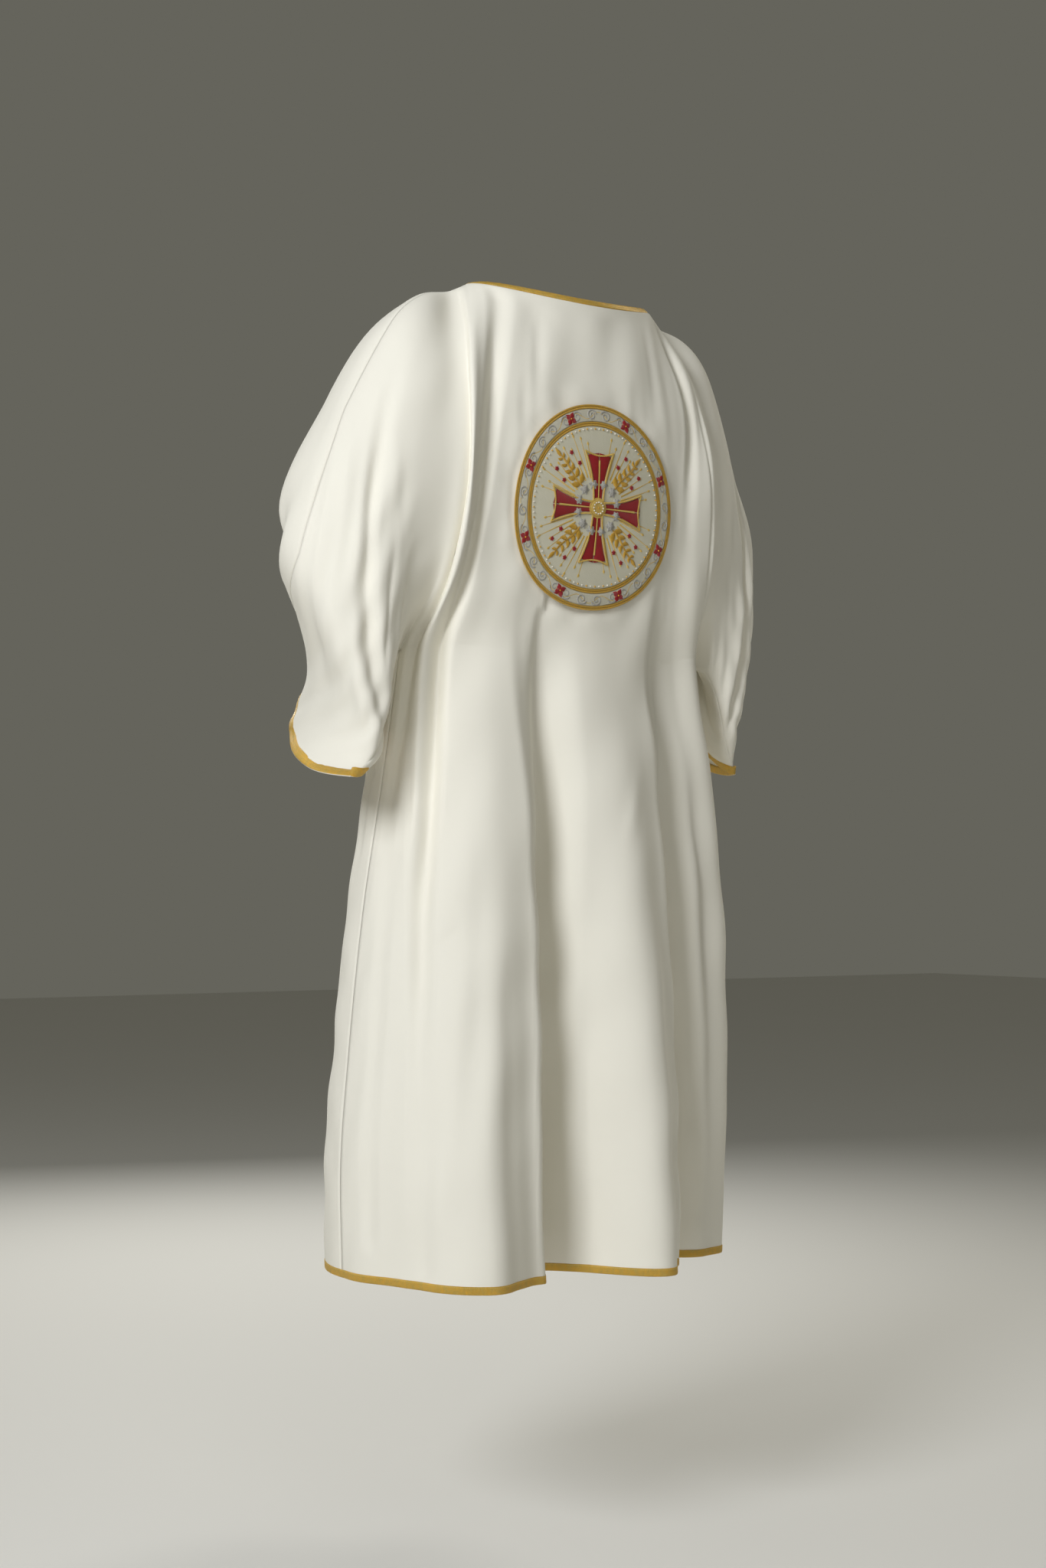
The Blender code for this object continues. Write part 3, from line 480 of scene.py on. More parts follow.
def sleeve(hand, side, along, around):
    """A grid of points on half a sleeve, along it from the armhole and around it from the overarm."""
    angle = np.pi * around
    share = ((1 - np.cos(angle)) / 2)[:, None]
    edge = np.full_like(around, 0.0 if hand == "left" else 1.0)
    rings = [plain_panel(side, edge, armhole_down(around))]
    for ring in LEFT_RINGS if hand == "left" else RIGHT_RINGS:
        over, under = np.array(ring.over), np.array(ring.under)
        bow = np.array(getattr(ring, side))
        stand = (np.sin(angle) * (1 + ring.lean * np.cos(angle)))[:, None]
        rings.append((over + (under - over) * share + bow * stand) * np.array([HANDS[hand], 1, 1]))
    plain = smooth(np.linspace(0, 1, len(rings)), np.stack(rings), along)
    steps = np.linalg.norm(np.diff(plain, axis=0), axis=-1).sum(axis=0).mean()
    across, drop = np.meshgrid(along, around, indexing="ij")
    round_half = np.linalg.norm(np.diff(plain, axis=1), axis=-1).sum(axis=1).mean()
    piece = hand + " " + side
    depth = fold_depth(piece, across, drop, steps) + crease_depth(piece, across, drop, steps, round_half)
    depth *= np.sin(np.pi * across) ** 0.5 * np.sin(np.pi * drop) ** 0.5
    inside = plain[:, :1] * 0.5 + plain[:, -1:] * 0.5
    return plain - outward(plain, inside) * depth[..., None]


def unit(ways):
    return ways / np.maximum(np.linalg.norm(ways, axis=-1, keepdims=True), 1e-12)


def neck_way(side, angle):
    """The way that the neck binding turns from the cloth: flat on the shoulders and upright behind."""
    edge = neck_edge(side, angle)
    upright = NECK_TILT_BACK if side == "back" else NECK_TILT_FRONT
    tilt = np.radians(NECK_TILT_SHOULDER + (upright - NECK_TILT_SHOULDER) * np.sin(angle))[..., None]
    middle = np.array([0, NECK_MIDDLE_Y, 0]) + edge * np.array([0, 0, 1])
    return unit(middle - edge) * np.cos(tilt) + np.array([0, 0, 1]) * np.sin(tilt)


def on_back(sideways, up, lift):
    """Points on the back around the medallion's middle, lifted off the cloth."""
    step = 0.004
    places = []
    for shift, raise_by in ((0, 0), (step, 0), (0, step)):
        across = MEDALLION_ACROSS + (sideways + shift) / girth_at(MEDALLION_DROP)
        top = top_edge("back", across)[..., 2]
        down = (MEDALLION_DROP - up - raise_by + top) / (LENGTH + top)
        places.append(plain_panel("back", across, down))
    facing = unit(np.cross(places[2] - places[0], places[1] - places[0]))
    facing *= np.where(facing[..., 1:2] < 0, -1.0, 1.0)
    return places[0] + facing * lift


def wavy(across, down, seed, length):
    """Gentle unevenness in cloth, as a few crossing waves of about one length."""
    draw = np.random.default_rng(seed)
    total = np.zeros_like(across)
    for _ in range(WAVES):
        turn = draw.uniform(0, TURN)
        wave = length * draw.uniform(0.6, 1.7)
        start = draw.uniform(0, TURN)
        total += np.sin((across * np.cos(turn) + down * np.sin(turn)) * TURN / wave + start)
    return total * CLOTH_WAVE / 3


def read_at(want, at, points):
    """A line of points read again at the distances want, where its own points lie at the distances at."""
    return np.stack([np.interp(want, at, points[:, axis]) for axis in range(points.shape[1])], axis=-1)


def sleeve_cloth(hand, side, rounds):
    """The sleeve's part of one cloth, from the armhole out, between the overarm and underarm seams."""
    along = np.linspace(0, 1, SLEEVE_STEPS + 1)
    halves = np.linspace(0, 1, LOOP_POINTS + 1)
    back, front = sleeve(hand, "back", along, halves), sleeve(hand, "front", along, halves)
    loop = np.concatenate([front[:, :0:-1], back], axis=1)
    places = np.concatenate([-halves[:0:-1], halves])
    start = np.interp(along, SEAM_ALONG, SEAM_AROUND)
    end = 1.0 if side == "back" else -1.0
    lines = zip(start, loop)
    return np.stack([read_at(first + (end - first) * rounds, places, line) for first, line in lines])


def spanned(grid, columns, out):
    """A grid drawn tight across the given columns, where the sleeves leave the body, and raised there."""
    number = np.arange(grid.shape[1])
    aways = [number - columns[0], columns[1] - number]
    near = np.zeros(grid.shape[1])
    for away in aways:
        near = np.maximum(near, hump(np.where(away < 0, away / JOIN_REACH[0], away / JOIN_REACH[1])))
    rows = np.linspace(0, 1, len(grid))[:, None]
    few, many = (
        near[None, 1:-1] * 0.5 * hump((rows - middle) / reach) for middle, reach in (JOIN_FEW_ROWS, JOIN_ROWS)
    )
    for turn in range(JOIN_PASSES):
        step = (few if turn < JOIN_FEW else many)[..., None]
        grid[:, 1:-1] += ((grid[:, :-2] + grid[:, 2:]) / 2 - grid[:, 1:-1]) * step
    raised = hump((rows - SPAN_ROWS[0]) / SPAN_ROWS[1])
    for away, rise in zip(aways, SPAN_RISES):
        grid[..., 1] += out * rise * hump((away - SPAN_COLUMNS[0]) / SPAN_COLUMNS[1])[None] * raised
    return grid


def seam_dip(distance):
    """How far cloth dips beside a seam."""
    return SEAM_DIP * np.exp(-distance / SEAM_REACH)


def from_medallion(across, drop):
    """How far places on the back lie from the medallion's middle, to the side and up."""
    return (across - MEDALLION_ACROSS) * girth_at(drop), MEDALLION_DROP - drop


def medallion_near(across, drop):
    """1 on the patch, 0 well outside it."""
    away = np.hypot(*from_medallion(across, drop))
    return 1 - np.clip((away - MEDALLION_RADIUS) / 0.03, 0, 1)


def pucker(across, drop):
    """The small waves that the patch's sewing draws into the cloth around it."""
    sideways, up = from_medallion(across, drop)
    away = np.hypot(sideways, up)
    turn = np.arctan2(up, sideways)
    waves = np.sin(turn * 11 + 1.3 * np.sin(turn * 3)) + 0.6 * np.sin(turn * 19 + 2)
    reach = np.exp(-(((away - MEDALLION_RADIUS - 0.01) / 0.016) ** 2))
    rim = 0.0014 * np.exp(-(((away - MEDALLION_RADIUS - 0.003) / 0.006) ** 2))
    return waves * reach * 0.0009 + rim


def body_points(side, rounds):
    """The body of one cloth, its places on the flat cloth, and its drops."""
    upper_down = armhole_down(rounds)
    lower_down = upper_down[-1] + (1 - upper_down[-1]) * np.linspace(0, 1, SKIRT_ROWS + 1)
    across = np.linspace(0, 1, PANEL_COLUMNS + 1)
    down = np.concatenate([upper_down, lower_down[1:]])
    body = panel(side, *np.meshgrid(across, down))
    drop = -body[..., 2]
    wide = across[None] + drop * 0
    depth = wavy(wide * FLAT_WIDTH, drop, WAVE_SEEDS[side][0], WAVE_LENGTHS[0])
    if side == "back":
        depth = depth * (1 - 0.8 * medallion_near(wide, drop)) + pucker(wide, drop)
    edge = np.minimum(across, 1 - across)[None] * 0.75
    under_arm = (np.arange(len(down)) > ARMHOLE_ROWS)[:, None]
    depth = depth * np.clip(edge / EDGE_FADE, 0, 1) + seam_dip(edge) * SIDE_SEAM * under_arm
    on_shoulder = np.clip((np.abs(across - 0.5) - 0.5 + NECK_SHARE) / 0.01, 0, 1)[None]
    from_top = drop - drop[:1]
    depth = depth * np.clip(from_top / EDGE_FADE, 0, 1) + seam_dip(from_top) * on_shoulder
    inside = body * np.array([0, 0, 1]) + np.array([0, -0.09, 0])
    flat = np.stack([(wide - 0.5) * FLAT_WIDTH, -drop], axis=-1)
    return body - outward(body, inside) * depth[..., None], flat, drop


def arm_points(side, hand, rounds, drop):
    """A sleeve's half of one cloth, in columns from the armhole out, and its places on the flat cloth."""
    arm = sleeve_cloth(hand, side, rounds)
    along = np.linspace(0, SLEEVE_LENGTH, SLEEVE_STEPS + 1)[:, None] + rounds[None] * 0
    fall = drop[: ARMHOLE_ROWS + 1, 0][None] + along * 0
    length = np.stack([lengths(line) for line in arm])
    to_edge = np.minimum(length, length[:, -1:] - length)
    inner = arm[:, :1] * 0.5 + arm[:, -1:] * 0.5 + np.array([0, -SIDES[side] * 0.03, 0])
    fade = np.clip(to_edge / EDGE_FADE, 0, 1) * np.clip(along / 0.03, 0, 1)
    dip = wavy(along, fall, WAVE_SEEDS[side][1], WAVE_LENGTHS[1]) * fade + seam_dip(to_edge)
    arm = arm - outward(arm, inner) * dip[..., None]
    place = np.stack([-HANDS[hand] * (FLAT_WIDTH / 2 + along), -fall], axis=-1)
    return arm.transpose(1, 0, 2), place.transpose(1, 0, 2)


@functools.cache
def cloth_points(side):
    """One cloth: its upper grid from cuff to cuff, its skirt grid, and their places on the flat cloth."""
    rounds = np.linspace(0, 1, ARMHOLE_ROWS + 1)
    body, flat, drop = body_points(side, rounds)
    left, right = (arm_points(side, hand, rounds, drop) for hand in HANDS)
    upper, upper_place = (
        np.concatenate([left[part][:, :0:-1], grid[: ARMHOLE_ROWS + 1], right[part][:, 1:]], axis=1)
        for part, grid in enumerate((body, flat))
    )
    upper = spanned(upper, (SLEEVE_STEPS, SLEEVE_STEPS + PANEL_COLUMNS), SIDES[side])
    return upper, upper_place, body[ARMHOLE_ROWS:], flat[ARMHOLE_ROWS:]


def corners_of(number):
    """The four corners of each face of a grid of numbered points."""
    corners = (number[:-1, :-1], number[1:, :-1], number[1:, 1:], number[:-1, 1:])
    return np.stack([corner.ravel() for corner in corners], axis=-1)


def grid_faces(rows, columns, first=0, around=False):
    """The faces of a grid of points, numbered from first."""
    number = np.arange(rows * columns).reshape(rows, columns) + first
    if around:
        number = np.concatenate([number, number[:, :1]], axis=1)
    return corners_of(number)


def new_mesh(name, points, faces, places=None):
    """A mesh object. places gives each face corner's place on the piece, for its material."""
    mesh = bpy.data.meshes.new(name)
    mesh.from_pydata(np.asarray(points).reshape(-1, 3).tolist(), [], np.asarray(faces).tolist())
    if places is not None:
        layer = mesh.uv_layers.new(name="Place")
        layer.data.foreach_set("uv", np.asarray(places, dtype=float).ravel())
    mesh.shade_smooth()
    piece = bpy.data.objects.new(name, mesh)
    bpy.context.scene.collection.objects.link(piece)
    return piece


def flipped(faces):
    return np.asarray(faces)[:, ::-1]


def thicken(piece, wall):
    """Give a sheet its thickness, half to either side."""
    modifier = piece.modifiers.new("Wall", "SOLIDIFY")
    modifier.thickness = wall
    modifier.offset = 0
    modifier.use_even_offset = False


def finished(piece, material, replaces=()):
    """Turn a piece's modifiers into plain mesh, give it its material and settle it on the body."""
    if piece.modifiers:
        depsgraph = bpy.context.evaluated_depsgraph_get()
        mesh = bpy.data.meshes.new_from_object(piece.evaluated_get(depsgraph), depsgraph=depsgraph)
        old = piece.data
        piece.modifiers.clear()
        piece.data = mesh
        mesh.name = piece.name
        bpy.data.meshes.remove(old)
    piece.data.materials.clear()
    piece.data.materials.append(material)
    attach(piece, ROOT)
    if replaces:
        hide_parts(*replaces)
    return piece


class Shapes:
    """Gathers many small shapes into one mesh."""

    def __init__(self):
        self.points = []
        self.faces = []
        self.places = []
        self.count = 0

    def add_grid(self, points, places, around=False, turned=False):
        """Add a grid of points. places has one more column than points where the grid closes on itself."""
        rows, columns = points.shape[:2]
        faces = grid_faces(rows, columns, self.count, around)
        spots = grid_faces(*places.shape[:2])
        if turned:
            faces, spots = flipped(faces), flipped(spots)
        self.points.append(points.reshape(-1, 3))
        self.faces.append(faces)
        self.places.append(places.reshape(-1, 2)[spots.ravel()])
        self.count += rows * columns

    def piece(self, name):
        points, faces, places = (np.concatenate(part) for part in (self.points, self.faces, self.places))
        return new_mesh(name, points, faces, places)


def lengths(points):
    """How far along a line each of its points lies."""
    steps = np.linalg.norm(np.diff(points, axis=0), axis=-1)
    return np.concatenate([[0], np.cumsum(steps)])


def looped(line):
    """A line that ends where it starts."""
    return np.concatenate([line, line[:1]])


def ahead_of(line, closed=True):
    """The ways along a line."""
    return np.roll(line, -1, axis=0) - np.roll(line, 1, axis=0) if closed else np.gradient(line, axis=0)


def square_to(ways, ahead):
    """Ways made square to others."""
    return unit(ways - ahead * np.sum(ways * ahead, axis=-1, keepdims=True))


def spots_at(at, around):
    """The flat places of a swept grid: the distances along it with those around it."""
    return np.stack(np.broadcast_arrays(at[:, None], around), axis=-1)


def tube(shapes, line, radius, sides, closed, across):
    """Add a round tube along a line. across gives a way to its side at each point."""
    ahead = unit(ahead_of(line, closed))
    side = square_to(across, ahead)
    up = np.cross(ahead, side)
    angle = np.linspace(0, TURN, sides, endpoint=False)
    rim = line[:, None] + side[:, None] * (np.cos(angle) * radius)[None, :, None]
    rim = rim + up[:, None] * (np.sin(angle) * radius)[None, :, None]
    if closed:
        rim, line = looped(rim), looped(line)
    around = np.arange(sides + 1)[None] / sides * TURN * radius
    shapes.add_grid(rim, spots_at(lengths(line), around), around=True)


def band_loop(shapes, edge, inward, width, thick, seed):
    """Add a folded binding that closes on itself along an edge and reaches inward from it."""
    ahead = unit(ahead_of(edge))
    inward = square_to(inward, ahead)
    face = np.cross(ahead, inward)
    at = lengths(looped(edge))
    total = at[-1]
    uneven = 1 + 0.06 * np.sin(at[:-1] / total * TURN * round(total / 0.021) + seed)
    uneven += 0.05 * np.sin(at[:-1] / total * TURN * round(total / 0.0134) + 2 * seed)
    angle = np.linspace(0, TURN, BAND_SIDES, endpoint=False)
    reach = 0.5 - 0.5 * np.sign(np.cos(angle)) * np.abs(np.cos(angle)) ** 0.45
    rise = np.sign(np.sin(angle)) * np.abs(np.sin(angle)) ** 0.55
    rim = edge[:, None] + inward[:, None] * (reach * width)[None, :, None]
    rim = rim + face[:, None] * (rise[None] * thick / 2 * uneven[:, None])[..., None]
    section = looped(np.stack([reach * width, rise * thick / 2], axis=-1))
    shapes.add_grid(looped(rim), spots_at(at, lengths(section)[None]), around=True)


def closed_line(points, spacing):
    """A closed line of points read again at an even spacing, and where it was read."""
    at = lengths(looped(points))
    want = np.linspace(0, at[-1], int(round(at[-1] / spacing)), endpoint=False)
    return read_at(want, at, looped(points)), want, at


def on_patch(flat, lift):
    """Points in the patch's own plane, set on the back at their lift."""
    lift = np.broadcast_to(lift, flat.shape[:-1])
    return on_back(flat[..., 0], flat[..., 1], lift[..., None])


def polar(radius, angle):
    return np.stack(np.broadcast_arrays(radius * np.cos(angle), radius * np.sin(angle)), axis=-1)


def turned(flat, angle, shift=(0.0, 0.0)):
    """Flat points turned about the patch's middle and then moved."""
    cosine, sine = math.cos(angle), math.sin(angle)
    x, y = flat[..., 0], flat[..., 1]
    return np.stack([x * cosine - y * sine + shift[0], x * sine + y * cosine + shift[1]], axis=-1)


def satin(shapes, line, half, rise=SATIN_RISE, base=STITCH_BASE, steps=7):
    """A raised strip of satin stitch along a flat line, half wide to either side."""
    ahead = unit(np.gradient(line, axis=0))
    side = np.stack([-ahead[:, 1], ahead[:, 0]], axis=-1)
    half = np.broadcast_to(half, len(line))
    angle = np.linspace(0, np.pi, steps)
    over = np.cos(angle)
    arch = np.abs(np.sin(angle)) ** 0.7
    flat = line[:, None] + side[:, None] * (over[None] * half[:, None])[..., None]
    full = np.clip(half / max(half.max(), 1e-6), 0.15, 1) ** 0.5
    points = on_patch(flat, base + rise * arch[None] * full[:, None])
    around = np.append(over, over[0])[None] * half[:, None]
    shapes.add_grid(points, spots_at(lengths(line), around), around=True, turned=True)


def rope(shapes, flat, lift, radius, pitch, closed=False):
    """Two plies twisted together along a flat line."""
    line = looped(flat) if closed else flat
    at = lengths(line)
    twists = max(round(at[-1] / pitch), 1)
    want = np.linspace(0, at[-1], int(at[-1] / (pitch / 9)), endpoint=not closed)
    way = read_at(want, at, line)
    middle = on_patch(way, lift)
    above = unit(on_patch(way, lift + 0.002) - middle)
    side = unit(np.cross(above, ahead_of(middle, closed)))
    for ply in range(2):
        turn = want / at[-1] * TURN * twists + ply * math.pi
        strand = middle + side * (np.cos(turn) * radius * 0.52)[:, None]
        strand = strand + above * (np.sin(turn) * radius * 0.42)[:, None]
        tube(shapes, strand, radius * 0.58, 6, closed, side)


def arc_line(radius, start, end, count):
    return polar(radius, np.linspace(start, end, count))


def scroll(shapes, middle_angle, hand):
    """One scroll of the border's vine, to one side of its middle."""
    wind = np.linspace(0, 1, 44)
    turn = np.pi * (0.1 + 2.9 * wind)
    size = 0.0062 * (1 - wind) ** 0.75 + 0.0009
    along = hand * (0.0105 + size * np.cos(turn + np.pi))
    radial = BORDER_MIDDLE + size * np.sin(turn) * 0.92
    flat = polar(radial, middle_angle + along / BORDER_MIDDLE)
    satin(shapes, flat, 0.0011 - 0.00045 * wind, 0.0011)


def leaf(shapes, root, angle, length, half, rise=SATIN_RISE, bend=0.0):
    """A leaf or petal: satin stitch that swells and narrows."""
    share = np.linspace(0, 1, 12)
    flat = np.stack([share * length, bend * np.sin(share * np.pi)], axis=-1)
    width = half * np.clip(np.sin(np.pi * share**0.8), 0.06, 1) ** 0.8
    satin(shapes, turned(flat, angle, root), width, rise)


def flower(shapes, spot, petals, angle, length, half, rise):
    """A ring of petals from one spot, the first of them at an angle."""
    for petal in range(petals):
        leaf(shapes, spot, angle + petal * TURN / petals, length, half, rise)


def cross_half_width(reach):
    """Half the width of a cross arm at a distance from the middle."""
    share = np.clip((reach - CROSS_START) / (CROSS_ARM - CROSS_START), 0, 1)
    return CROSS_WAIST + (CROSS_FLARE - CROSS_WAIST) * share**1.8


def cross_arm(fill, edge, angle):
    """One flared arm of the cross: two filled halves and their twisted outline."""
    reach = np.linspace(0.0075, CROSS_ARM - 0.003, 26)
    half = cross_half_width(reach) - 0.0016
    for hand in (1, -1):
        line = np.stack([reach, hand * half / 2], axis=-1)
        satin(fill, turned(line, angle), half / 2, CROSS_HEIGHT * 0.8, steps=9)
    bow = np.linspace(-1, 1, 17)
    end = np.stack([CROSS_ARM - 0.0045 * (1 - bow**2), bow * cross_half_width(CROSS_ARM)], axis=-1)
    side_reach = np.linspace(0.0085, CROSS_ARM, 18)
    side = np.stack([side_reach, cross_half_width(side_reach)], axis=-1)
    outline = np.concatenate([side * [1, -1], end[1:-1], side[::-1]])
    rope(edge, turned(outline, angle), STITCH_BASE + 0.0012, 0.0011, 0.0036)
    inner = np.stack([np.linspace(0.012, CROSS_ARM - 0.01, 14), np.zeros(14)], axis=-1)
    width = np.linspace(0.0007, 0.0013, 14)
    satin(edge, turned(inner, angle), width, 0.0006, STITCH_BASE + CROSS_HEIGHT * 0.55)


def disc(shapes, radius, base, top, edge=0.0012, rings=26, spokes=120, inner=0.0):
    """A round or ring-shaped ground with softly rounded rims."""
    spans = np.linspace(1, 0, rings)
    reach = [radius, radius, radius - edge * 0.4]
    lift = [base, top - edge * 0.6, top - 0.0001]
    reach += [inner + (radius - edge - inner) * span for span in spans]
    lift += [top] * rings
    if inner > 0:
        reach += [inner, inner]
        lift += [top - edge * 0.5, base]
    angle = np.linspace(0, TURN, spokes, endpoint=False)
    flat = polar(np.array(reach)[:, None], angle[None])
    closed = polar(np.array(reach)[:, None], np.append(angle, TURN)[None])
    shapes.add_grid(on_patch(flat, np.array(lift)[:, None]), closed, around=True, turned=True)


class Value:
    """A shader or geometry socket that can be used in arithmetic."""

    def __init__(self, nodes, socket):
        self.nodes = nodes
        self.socket = socket

    def math(self, operation, *others):
        return self.nodes.add("ShaderNodeMath", {"operation": operation}, self, *others)

    def __add__(self, other):
        return self.math("ADD", other)

    __radd__ = __add__

    def __mul__(self, other):
        return self.math("MULTIPLY", other)

    __rmul__ = __mul__

    def __sub__(self, other):
        return self.math("SUBTRACT", other)

    def __rsub__(self, other):
        return self.nodes.add("ShaderNodeMath", {"operation": "SUBTRACT"}, other, self)

    def __truediv__(self, other):
        return self.math("DIVIDE", other)

    def sine(self):
        return self.math("SINE")

    def wave(self, length):
        """A sine wave of a length."""
        return (self * (TURN / length)).sine()

    def whole(self):
        return self.math("FLOOR")

    def within(self, low, high):
        """0 at low, 1 at high and straight between, held beyond them."""
        return self.nodes.add("ShaderNodeMapRange", {"clamp": True}, self, low, high, 0.0, 1.0)


class Nodes:
    """Adds nodes to one tree and links them."""

    def __init__(self, tree):
        self.tree = tree

    def put(self, socket, given):
        if isinstance(given, Value):
            self.tree.links.new(given.socket, socket)
        elif given is not None:
            if hasattr(socket.default_value, "__len__") and hasattr(given, "__len__") and len(given) == 3:
                if len(socket.default_value) == 4:
                    given = (*given, 1.0)
            socket.default_value = given

    def node(self, kind, settings=None, *given, **named):
        """One node, with its settings first and then its sockets by order or by name."""
        made = self.tree.nodes.new(kind)
        for name, value in (settings or {}).items():
            setattr(made, name, value)
        for socket, value in zip(made.inputs, given):
            self.put(socket, value)
        for name, value in named.items():
            self.put(made.inputs[name.replace("_", " ")], value)
        return made

    def add(self, kind, settings=None, *given, output=0, **named):
        return Value(self, self.node(kind, settings, *given, **named).outputs[output])

    def mix(self, share, first, second):
        """A colour between two others."""
        made = self.node("ShaderNodeMix", {"data_type": "RGBA"})
        for name, value in (("Factor", share), ("A", first), ("B", second)):
            sockets = [socket for socket in made.inputs if socket.name == name and socket.enabled]
            self.put(sockets[0], value)
        return Value(self, [socket for socket in made.outputs if socket.enabled][0])

    def noise(self, at, scale, detail=2.0, rough=0.5, stretch=(1.0, 1.0, 1.0)):
        place = self.add("ShaderNodeMapping", {"vector_type": "POINT"}, Vector=at, Scale=stretch)
        return self.add("ShaderNodeTexNoise", None, Vector=place, Scale=scale, Detail=detail, Roughness=rough)

    def split(self, at):
        made = self.node("ShaderNodeSeparateXYZ", None, at)
        return [Value(self, socket) for socket in made.outputs]

    def joined(self, x, y, z=0.0):
        return self.add("ShaderNodeCombineXYZ", None, x, y, z)

    def bump(self, height, distance, strength=1.0, before=None):
        given = {"Strength": strength, "Distance": distance, "Height": height, "Normal": before}
        return self.add("ShaderNodeBump", None, **given)

    def cloud(self, scale, detail, rough):
        """Noise in the piece's own space."""
        return self.noise(self.add("ShaderNodeTexCoord", output=3), scale, detail, rough)

    def place(self):
        """A point's place on its piece, whole and in its two parts."""
        at = self.add("ShaderNodeUVMap", {"uv_map": "Place"})
        return at, *self.split(at)[:2]

    def own(self, row):
        """A number of its own for each row."""
        return self.add("ShaderNodeTexWhiteNoise", {"noise_dimensions": "1D"}, None, row, output=0)


def new_material(name, **values):
    """A material with one Principled shader, and the helper for its nodes."""
    material = bpy.data.materials.new(name)
    material.use_nodes = True
    nodes = Nodes(material.node_tree)
    shader = next(node for node in material.node_tree.nodes if node.type == "BSDF_PRINCIPLED")
    feed(nodes, shader, **values)
    return material, nodes, shader


def feed(nodes, shader, **values):
    for key, value in values.items():
        nodes.put(shader.inputs[key.replace("_", " ")], value)


def dimmed(colour, share):
    return [channel * share for channel in colour]


def cream_cloth(name, settings):
    """Ivory wool blend in plain weave, with slubs, painted shade in the gaps between its threads, and the
    shallow unevenness of worn cloth.
    """
    material, nodes, shader = new_material(
        name, Sheen_Weight=0.07, Sheen_Roughness=0.45, Sheen_Tint=(1.0, 0.97, 0.9), Specular_IOR_Level=0.28
    )
    place, u, v = nodes.place()
    thread = settings.thread
    weave = u.wave(2 * thread) * v.wave(2 * thread)
    rib = u.wave(thread) * 0.5 + v.wave(thread) * 0.5
    slub_down = nodes.noise(place, 1.0, 2.0, 0.5, (900.0, 34.0, 1.0))
    slub_across = nodes.noise(place, 1.0, 2.0, 0.5, (34.0, 900.0, 1.0))
    cloud = nodes.cloud(5.0, 4.0, 0.55)
    fuzz = nodes.noise(place, 1400.0, 2.0, 0.6)
    pale = nodes.mix(cloud.within(0.35, 0.68), settings.colour, settings.warm_colour)
    threads = slub_down.within(0.35, 0.75) * 0.5 + slub_across.within(0.35, 0.75) * 0.5
    toned = nodes.mix(threads * 0.35, pale, settings.thread_colour)
    # Painted shade between the threads of the weave.
    gaps = weave.within(-1.0, 0.2)
    colour = nodes.mix((1.0 - gaps) * 0.16, toned, settings.gap_shade_colour)
    soft = nodes.cloud(26.0, 3.0, 0.5)
    lumps = nodes.bump(soft, 0.0012, 0.35)
    slubs = nodes.bump(threads, 0.0004, 0.5, lumps)
    height = nodes.bump(weave * 0.6 + rib * 0.25 + fuzz * 0.5, 0.00022, settings.weave_depth, slubs)
    feed(nodes, shader, Base_Color=colour, Roughness=0.78 + fuzz * 0.12, Normal=height)
    return material


def gold_fabric(name, settings, weave=0.0011, rough=0.34):
    """Gold metal thread, woven or laid in rows, with its broken glitter painted in as bright glints and
    painted shade in the hollows between its rows.
    """
    material, nodes, shader = new_material(name, Sheen_Weight=0.02)
    place, u, v = nodes.place()
    ends = v.wave(weave)
    rows = (u * (TURN / weave) + ends * 0.8).sine()
    glints = nodes.noise(place, 1500.0, 2.0, 0.7)
    patches = nodes.noise(place, 160.0, 3.0, 0.6)
    # Painted glints: bright gold mixed into the colour at scattered spots, which are also made more metallic.
    painted_glints = glints.within(0.42, 0.66)
    light = nodes.mix(painted_glints, settings.gold_deep, settings.gold_bright)
    body = nodes.mix(patches.within(0.3, 0.7), light, settings.gold)
    # Painted shade in the hollows between the rows.
    shade = rows.within(-1.0, 0.3) * 0.7 + 0.3
    colour = nodes.mix((1.0 - shade) * 0.75, body, settings.gold_shadow)
    height = nodes.bump(rows * 0.6 + ends * 0.25 + glints * 0.4, 0.0003, 0.9)
    roughness = rough + glints * 0.3
    feed(nodes, shader, Base_Color=colour, Metallic=0.3 + painted_glints * 0.35, Roughness=roughness, Normal=height)
    return material


def thread_fill(name, colour, second, shadow, metallic=0.0, rough=0.42):
    """Satin stitch: fine threads laid side by side across a shape, with painted shade in the valleys between
    them.
    """
    material, nodes, shader = new_material(name, Sheen_Weight=0.12, Sheen_Roughness=0.3)
    place, u, v = nodes.place()
    across = u + v * SATIN_SLANT
    row = (across / SATIN_PITCH).whole()
    thread = across.wave(SATIN_PITCH)
    own = nodes.own(row)
    wide = nodes.noise(place, 240.0, 2.0, 0.5)
    body = nodes.mix(own * 0.55 + wide * 0.45, colour, second)
    # Painted shade in the valleys between the threads.
    valley = thread.within(-1.0, 0.1)
    with_painted_shade = nodes.mix((1.0 - valley) * 0.7, body, shadow)
    height = nodes.bump(thread.within(-1.0, 1.0) + own * 0.5, 0.00028, 0.9)
    feed(nodes, shader, Base_Color=with_painted_shade, Metallic=metallic, Roughness=rough + own * 0.2, Normal=height)
    return material


